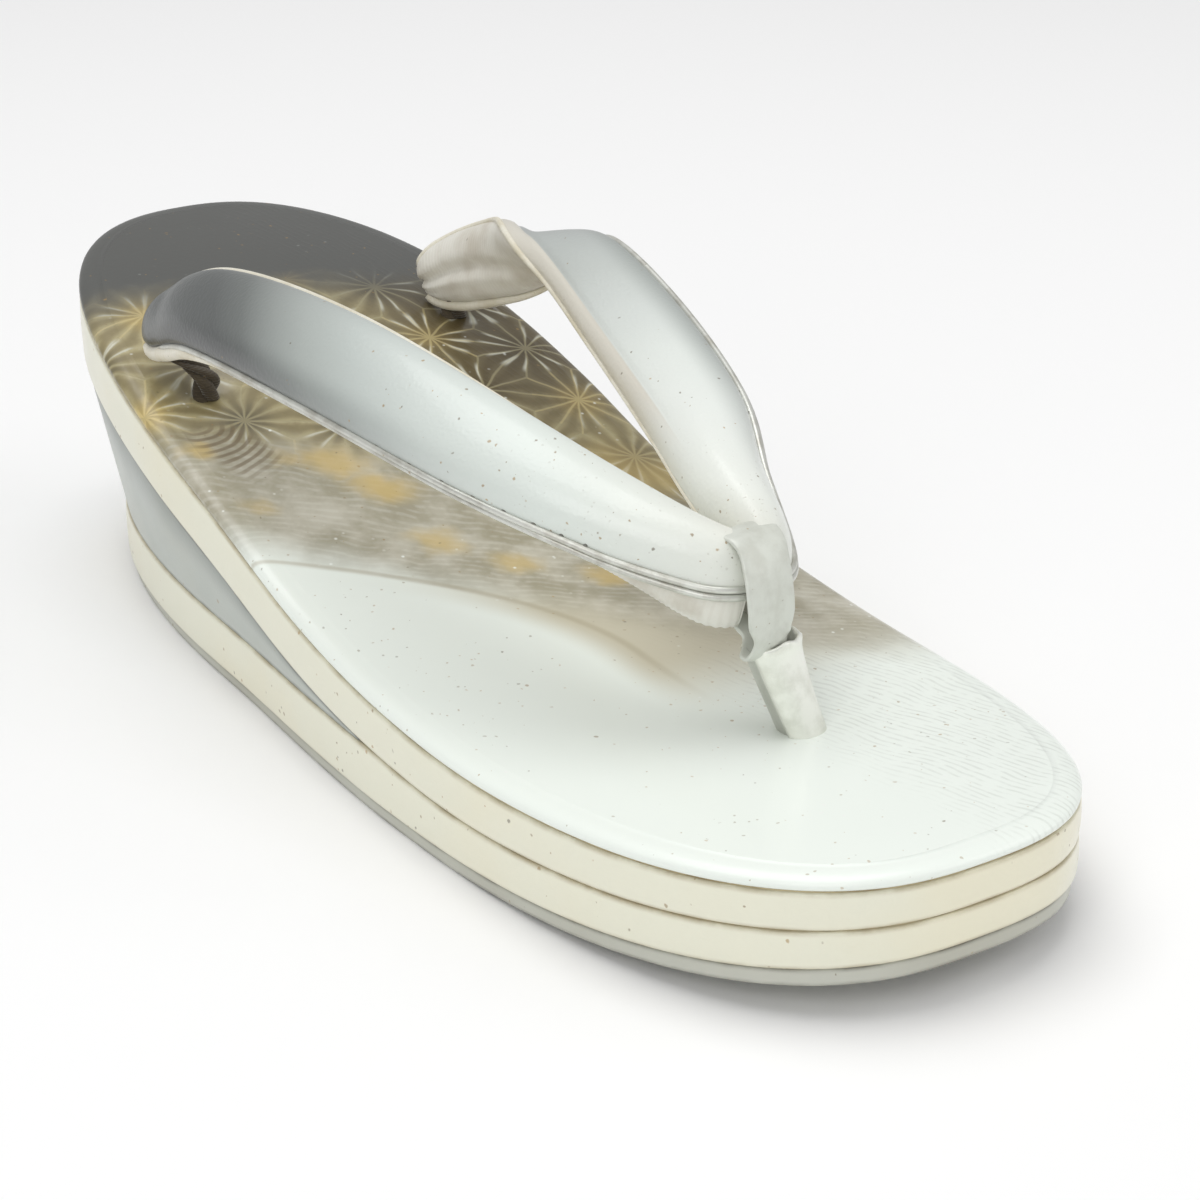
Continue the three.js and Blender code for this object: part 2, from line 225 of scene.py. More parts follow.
def tube_along(name: str, path: Array, radius: Array, sides: int = 10, closed: bool = False) -> Piece:
    """A round cord along a path.

    Args:
        name: The piece's name.
        path: Points in millimetres.
        radius: The radius at each point.
        sides: Sides of the round.
        closed: Whether the path is a ring.

    Returns:
        The cord.
    """
    heading = unit(np.roll(path, -1, 0) - np.roll(path, 1, 0) if closed else np.gradient(path, axis=0))
    side = np.cross(heading, [0.0, 0.0, 1.0])
    side /= np.maximum(np.linalg.norm(side, axis=1), 1e-6)[:, None]
    rise = np.cross(side, heading)
    turn = full_turn(sides)
    size = np.broadcast_to(radius, (len(path),))[:, None, None]
    spoke = np.cos(turn)[:, None] * side[:, None] + np.sin(turn)[:, None] * rise[:, None]
    rings = path[:, None] + size * spoke
    along = run_length(path)
    lay = np.column_stack([np.repeat(along, sides), np.tile(turn, len(path)), np.zeros(len(path) * sides)])
    return add_mesh(name, rings.reshape(-1, 3), tube_faces(len(path), sides, closed), lay)


def dress(piece: Piece, material: Material, slot: Slot) -> Piece:
    """Gives a piece its finish and lets it ride on the sandal.

    Args:
        piece: The piece.
        material: Its finish.
        slot: The record's slot that the finish belongs to.

    Returns:
        The same piece.
    """
    piece.data.materials.clear()
    piece.data.materials.append(material)
    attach(piece, BODY)
    LOG.info("%s: %d faces, %s", piece.name, len(piece.data.polygons), slot.value)
    return piece


# ---------------------------------------------------------------- shader graphs


class Graph:
    """A typed hand on one node tree: each method adds a node and gives back its socket."""

    def __init__(self, tree: NodeTree) -> None:
        """Keeps the tree that nodes are added to."""
        self.tree = tree

    def node(self, kind: str, **settings: object) -> Node:
        """Adds a node.

        Args:
            kind: The node's type, without its "ShaderNode" start.
            **settings: Properties to set on it.

        Returns:
            The node.
        """
        made = self.tree.nodes.new(kind if kind.startswith("Node") else f"ShaderNode{kind}")
        for key, value in settings.items():
            setattr(made, key, value)
        return made

    def feed(self, target: Socket, value: object) -> None:
        """Links a socket to target, or sets target's own value."""
        if isinstance(value, bpy.types.NodeSocket):
            self.tree.links.new(value, target)
        elif value is not None:
            target.default_value = value

    def math(self, operation: str, a: object, b: object = None, c: object = None) -> Socket:
        """One number worked out from up to three."""
        made = self.node("Math", operation=operation)
        for target, value in zip(made.inputs, (a, b, c)):
            self.feed(target, value)
        return made.outputs[0]

    def plus(self, a: object, b: object) -> Socket:
        """The sum a + b."""
        return self.math("ADD", a, b)

    def minus(self, a: object, b: object) -> Socket:
        """The difference a - b."""
        return self.math("SUBTRACT", a, b)

    def times(self, a: object, b: object) -> Socket:
        """The product a * b."""
        return self.math("MULTIPLY", a, b)

    def times_plus(self, a: object, b: object, c: object) -> Socket:
        """The sum a * b + c."""
        return self.math("MULTIPLY_ADD", a, b, c)

    def rest(self, share: object) -> Socket:
        """What is left of 1 beside a share."""
        return self.minus(1.0, share)

    def vector(
        self, operation: str, a: object, b: object = None, c: object = None, scale: object = None
    ) -> Socket:
        """One vector worked out from others; the number output for lengths and products."""
        made = self.node("VectorMath", operation=operation)
        for target, value in zip(made.inputs, (a, b, c)):
            self.feed(target, value)
        if scale is not None:
            self.feed(made.inputs["Scale"], scale)
        return made.outputs["Value" if operation in ("LENGTH", "DOT_PRODUCT", "DISTANCE") else "Vector"]

    def split(self, vector: Socket) -> tuple[Socket, Socket, Socket]:
        """The three parts of a vector."""
        made = self.node("SeparateXYZ")
        self.feed(made.inputs[0], vector)
        return made.outputs[0], made.outputs[1], made.outputs[2]

    def join(self, x: object, y: object, z: object = 0.0) -> Socket:
        """A vector from three numbers."""
        made = self.node("CombineXYZ")
        for target, value in zip(made.inputs, (x, y, z)):
            self.feed(target, value)
        return made.outputs[0]

    def mix(self, factor: object, a: object, b: object) -> Socket:
        """Two colours mixed by a factor."""
        made = self.node("Mix", data_type="RGBA")
        self.feed(made.inputs["Factor"], factor)
        self.feed(made.inputs[6], a)
        self.feed(made.inputs[7], b)
        return made.outputs[2]

    def blend(self, factor: object, a: object, b: object) -> Socket:
        """Two numbers mixed by a factor."""
        made = self.node("Mix", data_type="FLOAT")
        self.feed(made.inputs["Factor"], factor)
        self.feed(made.inputs[2], a)
        self.feed(made.inputs[3], b)
        return made.outputs[0]

    def remap(self, value: object, low: object, high: object, start: float = 0.0, end: float = 1.0) -> Socket:
        """Carries value from the span low to high over to start to end, eased at both ends."""
        made = self.node("MapRange", interpolation_type="SMOOTHSTEP")
        for target, item in zip(made.inputs, (value, low, high, start, end)):
            self.feed(target, item)
        return made.outputs[0]

    def noise(self, vector: object, scale: object, detail: float = 2.0, roughness: float = 0.5) -> Socket:
        """Cloudy noise from 0 to 1."""
        made = self.node("TexNoise")
        self.feed(made.inputs["Vector"], vector)
        self.feed(made.inputs["Scale"], scale)
        self.feed(made.inputs["Detail"], detail)
        self.feed(made.inputs["Roughness"], roughness)
        return made.outputs["Fac"]

    def noise_vector(self, vector: object, scale: object, detail: float = 2.0) -> Socket:
        """Cloudy noise as a vector centred on 0."""
        made = self.node("TexNoise")
        self.feed(made.inputs["Vector"], vector)
        self.feed(made.inputs["Scale"], scale)
        self.feed(made.inputs["Detail"], detail)
        return self.vector("SUBTRACT", made.outputs["Color"], (0.5, 0.5, 0.5))

    def cells(self, vector: object, scale: object) -> Node:
        """A cell texture."""
        made = self.node("TexVoronoi")
        self.feed(made.inputs["Vector"], vector)
        self.feed(made.inputs["Scale"], scale)
        return made

    def group(self, tree: NodeTree, **inputs: object) -> Node:
        """Places a node group.

        Args:
            tree: The group.
            **inputs: Values or sockets by input name, with "_" for a space.

        Returns:
            The group node.
        """
        made = self.node("Group", node_tree=tree)
        for key, value in inputs.items():
            self.feed(made.inputs[key.replace("_", " ")], value)
        return made


@dataclass(frozen=True)
class GroupPlan:
    """A shader node group under construction."""

    tree: NodeTree
    graph: Graph
    source: Node
    result: Node

    @classmethod
    def start(cls, name: str, inputs: dict[str, object], outputs: dict[str, str]) -> "GroupPlan":
        """Opens a group with named sockets.

        Args:
            name: The group's name.
            inputs: Default value of each input; None makes a vector input.
            outputs: Socket type of each output.

        Returns:
            The plan, ready for its nodes.
        """
        tree = bpy.data.node_groups.new(name, "ShaderNodeTree")
        for key, value in inputs.items():
            kind = "NodeSocketVector" if value is None else "NodeSocketFloat"
            kind = "NodeSocketColor" if isinstance(value, tuple) else kind
            made = tree.interface.new_socket(name=key, in_out="INPUT", socket_type=kind)
            if value is not None:
                made.default_value = value
        for key, kind in outputs.items():
            tree.interface.new_socket(name=key, in_out="OUTPUT", socket_type=kind)
        graph = Graph(tree)
        return cls(tree, graph, graph.node("NodeGroupInput"), graph.node("NodeGroupOutput"))

    def give(self, **values: Socket) -> NodeTree:
        """Feeds the group's outputs by name and hands the group back."""
        for key, value in values.items():
            self.graph.feed(self.result.inputs[key.replace("_", " ")], value)
        return self.tree


def make_specks() -> NodeTree:
    """Small scattered marks of age: gold, brown and dark.

    Returns:
        A group from a place to a mask and the marks' colour.
    """
    plan = GroupPlan.start(
        "age_specks",
        {"Vector": None, "Per Metre": 350.0, "Size": 0.16, "Share": 0.35},
        {"Mask": "NodeSocketFloat", "Colour": "NodeSocketColor"},
    )
    graph, place = plan.graph, plan.source.outputs
    warped = graph.vector("ADD", place["Vector"], graph.vector(
        "SCALE", graph.noise_vector(place["Vector"], 900.0), scale=0.0008))
    cells = graph.cells(warped, place["Per Metre"])
    random = graph.node("SeparateColor")
    graph.feed(random.inputs[0], cells.outputs["Color"])
    patchy = graph.remap(graph.noise(place["Vector"], 45.0), 0.35, 0.7, 0.35, 1.6)
    chosen = graph.math("LESS_THAN", random.outputs[0], graph.times(place["Share"], patchy))
    reach = graph.times(place["Size"], graph.plus(random.outputs[1], 0.35))
    spot = graph.rest(graph.remap(cells.outputs["Distance"], graph.times(reach, 0.5), reach))
    brown = graph.mix(random.outputs[2], srgb(96, 84, 62), srgb(176, 140, 78))
    return plan.give(Mask=graph.times(chosen, spot), Colour=brown)


def make_grain() -> NodeTree:
    """The faint unevenness of leather under enamel.

    Returns:
        A group from a place to a height and a roughness change.
    """
    plan = GroupPlan.start(
        "leather_grain",
        {"Vector": None, "Per Metre": 1200.0, "Waviness": 0.5},
        {"Height": "NodeSocketFloat", "Roughness": "NodeSocketFloat"},
    )
    graph, place = plan.graph, plan.source.outputs
    pores = graph.remap(graph.noise(place["Vector"], place["Per Metre"], 0.0), 0.3, 0.7)
    waves = graph.noise(place["Vector"], 160.0, 2.0)
    height = graph.blend(place["Waviness"], pores, waves)
    rough = graph.remap(graph.noise(place["Vector"], 75.0, 4.0), 0.3, 0.75)
    return plan.give(Height=height, Roughness=rough)


def make_seam_dirt_and_shade() -> NodeTree:
    """Darkening along a piece's seams, partly dirt and partly painted shade where the layers meet, and a
    faint yellowing.

    Returns:
        A group from a place and a distance from the seam to a mask of dirt and painted shade, and a yellowing
        mask.
    """
    plan = GroupPlan.start(
        "seam_dirt_and_painted_shade",
        {"Vector": None, "From Seam": 1.0, "Reach": 0.12},
        {"Dirt": "NodeSocketFloat", "Yellowing": "NodeSocketFloat"},
    )
    graph, place = plan.graph, plan.source.outputs
    # The seam mask is partly dirt and partly painted shade where the layers meet.
    uneven = graph.remap(graph.noise(place["Vector"], 120.0, 4.0, 0.6), 0.3, 0.7, 0.25, 1.0)
    near = graph.rest(graph.remap(place["From Seam"], 0.0, place["Reach"]))
    yellow = graph.remap(graph.noise(place["Vector"], 28.0, 3.0), 0.42, 0.72)
    return plan.give(Dirt=graph.times(near, uneven), Yellowing=yellow)


def make_hemp_leaf() -> NodeTree:
    """The hemp leaf chart: twelve rays from each point of a triangle grid.

    Returns:
        A group from a place in millimetres to the rays and the facets between them. Golden is 1 in
        every third star; Swing rises from 0 on a ray to 0.5 in the middle of a facet; Far is the
        distance from the star's heart.
    """
    plan = GroupPlan.start(
        "hemp_leaf_chart",
        {"Vector": None, "Cell": 18.0, "Ray Width": 0.35},
        {
            "Rays": "NodeSocketFloat",
            "Chance": "NodeSocketFloat",
            "Swing": "NodeSocketFloat",
            "Golden": "NodeSocketFloat",
            "Far": "NodeSocketFloat",
        },
    )
    graph, place = plan.graph, plan.source.outputs
    flat = graph.vector("MULTIPLY", place["Vector"], (1.0, 1.0, 0.0))
    scaled = graph.vector("SCALE", flat, scale=graph.math("DIVIDE", 1.0, place["Cell"]))
    period = (1.0, math.sqrt(3.0), 1.0)
    half = (0.5, math.sqrt(3.0) / 2, 0.0)

    def fold(shifted: object) -> Socket:
        """The place within one repeat of a rectangular grid, measured from its middle."""
        wrapped = graph.vector("WRAP", shifted, period, (0.0, 0.0, 0.0))
        return graph.vector("MULTIPLY", graph.vector("SUBTRACT", wrapped, half), (1.0, 1.0, 0.0))

    one = fold(graph.vector("ADD", scaled, half))
    two = fold(scaled)
    nearer = graph.math("LESS_THAN", graph.vector("LENGTH", one), graph.vector("LENGTH", two))
    choose = graph.node("Mix", data_type="VECTOR")
    graph.feed(choose.inputs["Factor"], nearer)
    graph.feed(choose.inputs[4], two)
    graph.feed(choose.inputs[5], one)
    local = choose.outputs[1]
    x, y, _ = graph.split(local)
    far = graph.times(graph.vector("LENGTH", local), place["Cell"])
    sector = math.radians(30)
    turn = graph.math("DIVIDE", graph.plus(graph.math("ARCTAN2", y, x), math.pi), sector)
    swing = graph.times(graph.math("PINGPONG", turn, 0.5), sector)
    off = graph.times(far, graph.math("SINE", swing))
    thin = graph.times(place["Ray Width"], 0.3)
    rays = graph.rest(graph.remap(off, thin, place["Ray Width"]))
    centre = graph.vector("SUBTRACT", scaled, local)
    centre_x, centre_y, _ = graph.split(centre)
    order = graph.times_plus(centre_y, -math.sqrt(3.0), graph.plus(centre_x, 0.5))
    golden = graph.math("LESS_THAN", graph.math("WRAP", order, 3.0, 0.0), 1.0)
    shade = graph.node("TexWhiteNoise", noise_dimensions="4D")
    nudged = graph.vector("ADD", centre, (0.1, 0.1, 0.0))
    graph.feed(shade.inputs["Vector"], graph.vector("SNAP", nudged, (0.5, 0.4, 1.0)))
    graph.feed(shade.inputs["W"], graph.math("FLOOR", turn))
    share = graph.math("PINGPONG", turn, 0.5)
    return plan.give(Rays=rays, Chance=shade.outputs["Value"], Swing=share, Golden=golden, Far=far)


def make_cloud() -> NodeTree:
    """One soft cloud.

    Returns:
        A group from a place, a middle and a reach in millimetres to the cloud's mask.
    """
    plan = GroupPlan.start(
        "soft_cloud",
        {"Vector": None, "Middle": None, "Reach": 5.0, "Stretch": 1.6},
        {"Mask": "NodeSocketFloat"},
    )
    graph, place = plan.graph, plan.source.outputs
    away = graph.vector("SUBTRACT", place["Vector"], place["Middle"])
    turned = graph.node("VectorRotate", rotation_type="Z_AXIS")
    graph.feed(turned.inputs["Vector"], away)
    turned.inputs["Angle"].default_value = math.radians(34)
    x, y, _ = graph.split(turned.outputs[0])
    flat = graph.join(graph.math("DIVIDE", x, place["Stretch"]), y)
    size = graph.math("DIVIDE", graph.vector("LENGTH", flat), place["Reach"])
    return plan.give(Mask=graph.rest(graph.remap(size, 0.15, 1.25)))


def make_fine_lines() -> NodeTree:
    """Fine, slightly wavering lines drawn side by side.

    Returns:
        A group from a place in millimetres to a mask of lines.
    """
    plan = GroupPlan.start(
        "fine_lines",
        {"Vector": None, "Turn": 0.0, "Spacing": 1.2, "Waver": 1.0, "Breadth": 0.3},
        {"Lines": "NodeSocketFloat"},
    )
    graph, place = plan.graph, plan.source.outputs
    x, y, _ = graph.split(place["Vector"])
    across = graph.minus(graph.times(y, graph.math("COSINE", place["Turn"])),
                        graph.times(x, graph.math("SINE", place["Turn"])))
    waver = graph.times(graph.minus(graph.noise(place["Vector"], 0.07, 2.0), 0.5), 9.0)
    shaken = graph.times_plus(waver, place["Waver"], across)
    swing = graph.math("PINGPONG", graph.math("DIVIDE", shaken, place["Spacing"]), 0.5)
    lines = graph.rest(graph.remap(swing, graph.times(place["Breadth"], 0.3), place["Breadth"]))
    broken = graph.remap(graph.noise(place["Vector"], 0.35, 3.0), 0.35, 0.6)
    return plan.give(Lines=graph.times(lines, broken))


@dataclass(frozen=True)
class Effects:
    """The shader groups that finishes share."""

    specks: NodeTree = field(default_factory=make_specks)
    grain: NodeTree = field(default_factory=make_grain)
    seam_dirt_and_shade: NodeTree = field(default_factory=make_seam_dirt_and_shade)
    hemp_leaf: NodeTree = field(default_factory=make_hemp_leaf)
    cloud: NodeTree = field(default_factory=make_cloud)
    fine_lines: NodeTree = field(default_factory=make_fine_lines)


class Finish:
    """A material under construction, with its shader and its surface measures at hand."""

    def __init__(self, name: str, roughness: float, metallic: float = 0.0, coat: float = 0.0) -> None:
        """Opens the material.

        Args:
            name: The finish's name.
            roughness: The shader's own roughness.
            metallic: The shader's own metalness.
            coat: The weight of the clear coat.
        """
        self.material = bpy.data.materials.new(name)
        self.material.use_nodes = True
        self.graph = Graph(self.material.node_tree)
        self.shader = self.material.node_tree.nodes["Principled BSDF"]
        self.shader.inputs["Roughness"].default_value = roughness
        self.shader.inputs["Metallic"].default_value = metallic
        self.shader.inputs["Coat Weight"].default_value = coat
        self.shader.inputs["Coat Roughness"].default_value = 0.08
        self.place = self.graph.node("TexCoord").outputs["Object"]

    def lay(self) -> Socket:
        """The surface measures kept on the mesh."""
        return self.graph.node("Attribute", attribute_name="lay").outputs["Vector"]

    def colour(self, value: object) -> None:
        """Sets or links the base colour."""
        self.graph.feed(self.shader.inputs["Base Color"], value)

    def roughness(self, value: object) -> None:
        """Sets or links the roughness."""
        self.graph.feed(self.shader.inputs["Roughness"], value)

    def marked(
        self, effects: Effects, shade: object, strength: float, per_metre: float, size: float, share: object
    ) -> Socket:
        """Scatters specks over a colour.

        Args:
            effects: The shared shader groups.
            shade: The colour under the specks.
            strength: How much they cover it.
            per_metre: Cells in a metre.
            size: Their size as a share of a cell.
            share: The share of cells that hold one.

        Returns:
            The marked colour.
        """
        graph = self.graph
        marks = graph.group(effects.specks, Vector=self.place, Per_Metre=per_metre, Size=size, Share=share)
        return graph.mix(graph.times(marks.outputs["Mask"], strength), shade, marks.outputs["Colour"])

    def grained(
        self, effects: Effects, waviness: float, spread: float, gloss: float, relief: float
    ) -> None:
        """Gives the surface a leather grain.

        Args:
            effects: The shared shader groups.
            waviness: The share of slow waves against pores.
            spread: How far the roughness varies.
            gloss: The lowest roughness.
            relief: The grain's height in millimetres.
        """
        grain = self.graph.group(effects.grain, Vector=self.place, Per_Metre=LEATHER_PORES, Waviness=waviness)
        self.roughness(self.graph.times_plus(grain.outputs["Roughness"], spread, gloss))
        self.bump(grain.outputs["Height"], relief)

    def bump(self, height: Socket, distance: float) -> None:
        """Raises the surface by a height in millimetres."""
        made = self.graph.node("Bump")
        made.inputs["Strength"].default_value = 1.0
        made.inputs["Distance"].default_value = distance * MM
        self.graph.feed(made.inputs["Height"], height)
        self.graph.feed(self.shader.inputs["Normal"], made.outputs[0])


# ---------------------------------------------------------------- finishes


@dataclass(frozen=True)
class WrapFinish:
    """Smooth enamelled leather wrapped round a layer of the sole, darkened at its seams by dirt and painted
    shade, and on the wedge at the top of its wall by painted shade.
    """

    name: str
    main: Colour
    aged: Colour
    # The colour of seam dirt and painted shade.
    dirt_and_shade: Colour
    gloss: float
    specks: float
    painted_top_shade: float = 0.0

    def make(self, effects: Effects) -> Material:
        """Builds the material.

        Args:
            effects: The shared shader groups.

        Returns:
            The material.
        """
        finish = Finish(self.name, self.gloss, coat=0.25)
        graph = finish.graph
        _, height, seam = graph.split(finish.lay())
        seam_dirt_shade = graph.group(effects.seam_dirt_and_shade, Vector=finish.place, From_Seam=seam, Reach=0.9)
        base = graph.mix(graph.times(seam_dirt_shade.outputs["Yellowing"], 0.55), self.main, self.aged)
        # Painted shade: the top of the wall darkens under the layer above it.
        if self.painted_top_shade:
            high = graph.remap(height, 0.45, 1.0, 0.0, self.painted_top_shade)
            base = graph.mix(high, base, self.dirt_and_shade)
        # Near the seams the colour darkens: partly dirt, partly painted shade where the layers meet.
        base = graph.mix(graph.times(seam_dirt_shade.outputs["Dirt"], 0.75), base, self.dirt_and_shade)
        for per_metre, size in ((260.0, 0.12), (560.0, 0.2)):
            base = finish.marked(effects, base, 0.65, per_metre, size, self.specks)
        finish.colour(base)
        finish.grained(effects, 0.7, 0.12, self.gloss, 0.05)
        return finish.material


@dataclass(frozen=True)
class Cloud:
    """A golden cloud in the print: its middle and its reach in millimetres, and its strength."""

    x: float
    y: float
    reach: float
    strength: float = 1.0


@dataclass(frozen=True)
class BedFinish:
    """Printed enamel: charcoal heel, foil hemp leaves, golden clouds and a pearl toe, with painted strap
    shadows over the print.
    """

    name: str = "bed_print"
    charcoal: Colour = srgb(80, 81, 78)
    taupe: Colour = srgb(160, 154, 132)
    pearl: Colour = srgb(238, 244, 237)
    gold: Colour = srgb(204, 178, 110)
    brown: Colour = srgb(126, 114, 78)
    dark_foil: Colour = srgb(88, 82, 62)
    silver_foil: Colour = srgb(212, 213, 200)
    star: tuple[float, float] = (18.4, 56.9)
    cell: float = 17.0
    turn_degrees: float = 27.0
    fan: tuple[float, float] = (-34.0, 49.0)
    clouds: tuple[Cloud, ...] = (
        Cloud(-17.0, 30.0, 4.6),
        Cloud(-12.5, 22.0, 4.6),
        Cloud(-11.0, 5.5, 3.6, 0.85),
        Cloud(-2.5, -4.0, 3.4, 0.8),
        Cloud(-36.0, 41.0, 2.4, 0.9),
        Cloud(-24.0, 33.0, 2.6, 0.6),
        Cloud(-34.0, 25.0, 2.2, 0.5),
        Cloud(6.0, 14.0, 5.0, 0.9),
        Cloud(10.0, -14.0, 4.0, 0.9),
        Cloud(22.0, -2.0, 5.0, 0.9),
        Cloud(27.0, -30.0, 4.5, 0.8),
        Cloud(33.0, 12.0, 8.0, 1.0),
    )

    def leaves(self, graph: Graph, effects: Effects, spot: Socket) -> tuple[Socket, Socket]:
        """The foil stars, with painted shadow over them beside the right strap's back end.

        Args:
            graph: The material's graph.
            effects: The shared shader groups.
            spot: The place in millimetres.

        Returns:
            The stars' colour and their raised lines.
        """
        turned = graph.node("VectorRotate", rotation_type="Z_AXIS")
        graph.feed(turned.inputs["Vector"], graph.vector("SUBTRACT", spot, (*self.star, 0.0)))
        turned.inputs["Angle"].default_value = math.radians(self.turn_degrees)
        leaves = graph.group(effects.hemp_leaf, Vector=turned.outputs[0], Cell=self.cell, Ray_Width=0.32)
        chart = leaves.outputs
        near_heart = graph.remap(chart["Far"], 7.0, 0.8)
        hollow = graph.remap(chart["Swing"], 0.04, 0.42)
        tone = graph.noise(spot, 0.35, 3.0, 0.6)
        field = graph.mix(graph.times(hollow, 0.75), srgb(172, 161, 122), self.brown)
        rich = graph.mix(graph.times(hollow, 0.5), srgb(204, 182, 118), srgb(150, 130, 82))
        dim = graph.mix(graph.times(hollow, 0.8), srgb(140, 130, 96), self.dark_foil)
        heart = graph.mix(chart["Golden"], dim, rich)
        leaf = graph.mix(near_heart, field, heart)
        leaf = graph.mix(graph.remap(tone, 0.42, 0.72, 0.0, 0.5), leaf, self.brown)
        x, y, _ = graph.split(spot)
        # Painted shadow beside the right strap's back end darkens the stars there.
        painted_strap_shadow = graph.times(graph.remap(x, 4.0, 24.0), graph.remap(y, 18.0, 46.0))
        leaf = graph.mix(graph.times(painted_strap_shadow, 0.8), leaf, srgb(68, 56, 32))
        tip = graph.times(graph.remap(chart["Far"], 2.0, 5.0), graph.remap(chart["Swing"], 0.24, 0.04))
        tip = graph.times(tip, graph.remap(chart["Far"], 8.6, 6.4))
        chosen = graph.remap(chart["Chance"], 0.58, 0.8, 0.0, 0.85)
        leaf = graph.mix(graph.times(chosen, tip), leaf, self.silver_foil)
        line = graph.mix(chart["Golden"], srgb(176, 168, 132), srgb(208, 192, 140))
        leaf = graph.mix(graph.times(chart["Rays"], 0.4), leaf, line)
        return leaf, chart["Rays"]

    def make(self, effects: Effects) -> Material:
        """Builds the material.

        Args:
            effects: The shared shader groups.

        Returns:
            The material.
        """
        finish = Finish(self.name, 0.3, coat=0.22)
        graph = finish.graph
        spot = graph.vector("MULTIPLY", graph.vector("SCALE", finish.place, scale=1 / MM), (1.0, 1.0, 0.0))
        drift = graph.vector("SCALE", graph.noise_vector(spot, 0.16, 4.0), scale=7.0)
        shake = graph.vector("SCALE", graph.noise_vector(spot, 0.07, 2.0), scale=3.0)
        shaken = graph.vector("ADD", spot, shake)
        cloudy = graph.vector("ADD", spot, drift)
        x, y, _ = graph.split(cloudy)
        plain_x, plain_y, _ = graph.split(spot)

        heel = graph.remap(graph.times_plus(plain_x, 0.25, y), 68.0, 87.0)
        star_line = graph.times_plus(x, 0.62, y)
        stars = graph.remap(star_line, 17.0, 29.0)

        # The pearl ground starts at a curve that sweeps from the left edge to the toe post.
        behind = graph.minus(5.0, plain_y)
        run = graph.math("MINIMUM", behind, 42.0)
        curve = graph.times(run, graph.times_plus(run, -0.01542, 1.304))
        edge = graph.minus(graph.plus(curve, -28.3), plain_x)
        hill = graph.remap(edge, -1.0, 2.0)
        hill_line = graph.rest(graph.remap(graph.math("ABSOLUTE", edge), 0.1, 1.3))
        left_edge = graph.remap(graph.plus(plain_x, y), -12.0, -30.0)
        toe = graph.remap(graph.times_plus(x, -0.1, y), -42.0, -70.0)
        pearl_mask = graph.math("MAXIMUM", toe, graph.math("MAXIMUM", hill, left_edge))

        tone = graph.noise(spot, 0.09, 4.0, 0.6)
        middle = graph.mix(graph.remap(tone, 0.35, 0.7), self.taupe, srgb(198, 194, 178))
        lines = graph.group(effects.fine_lines, Vector=spot, Turn=-0.59, Spacing=1.5, Waver=0.6, Breadth=0.3)
        middle = graph.mix(graph.times(lines.outputs["Lines"], 0.22), middle, srgb(222, 222, 212))
        cover: Socket | float = 0.0
        for cloud in self.clouds:
            middle_at = (cloud.x, cloud.y, 0.0)
            made = graph.group(effects.cloud, Vector=cloudy, Middle=middle_at, Reach=cloud.reach)
            cover = graph.math("MAXIMUM", cover, graph.times(made.outputs["Mask"], cloud.strength))
        leaf, rays = self.leaves(graph, effects, shaken)

        away = graph.vector("SUBTRACT", shaken, (*self.fan, 0.0))
        fan_x, fan_y, _ = graph.split(away)
        radius = graph.vector("LENGTH", away)
        bars = graph.remap(graph.math("PINGPONG", graph.math("DIVIDE", radius, 1.7), 0.5), 0.34, 0.12)
        wedge = graph.remap(graph.math("ABSOLUTE", graph.times_plus(fan_y, 0.35, fan_x)), 6.5, 3.0)
        below = graph.times(graph.remap(fan_y, -1.0, -4.0), graph.remap(radius, 21.0, 13.0))
        fan = graph.times(graph.times(bars, wedge), below)

        toe_lines = graph.group(
            effects.fine_lines, Vector=spot, Turn=-1.32, Spacing=1.35, Waver=0.5, Breadth=0.26
        ).outputs["Lines"]
        line_share = graph.times(graph.remap(x, -2.0, 14.0), 0.3)
        ripples = graph.times(toe_lines, line_share)
        pearl = graph.mix(ripples, self.pearl, srgb(182, 186, 178))
        # Tan by the curve: partly the print's own tan, partly painted shadow of the straps above it.
        tan_print_and_shadow = graph.times(graph.remap(plain_y, 4.0, -24.0, 0.0, 0.8), graph.remap(edge, 8.0, 0.5))
        tan_print_and_shadow = graph.times(tan_print_and_shadow, graph.remap(plain_y, -62.0, -40.0))
        pearl = graph.mix(tan_print_and_shadow, pearl, srgb(190, 180, 152))

        ground = graph.mix(pearl_mask, middle, pearl)
        line_mask = graph.times(hill_line, graph.remap(plain_y, -60.0, -34.0, 0.0, 0.4))
        ground = graph.mix(line_mask, ground, srgb(160, 148, 116))
        ground = graph.mix(stars, ground, leaf)
        ground = graph.mix(graph.times(cover, graph.minus(0.8, graph.times(stars, 0.35))), ground, self.gold)
        ground = graph.mix(graph.times(fan, 0.65), ground, srgb(104, 84, 50))
        ground = graph.mix(heel, ground, self.charcoal)

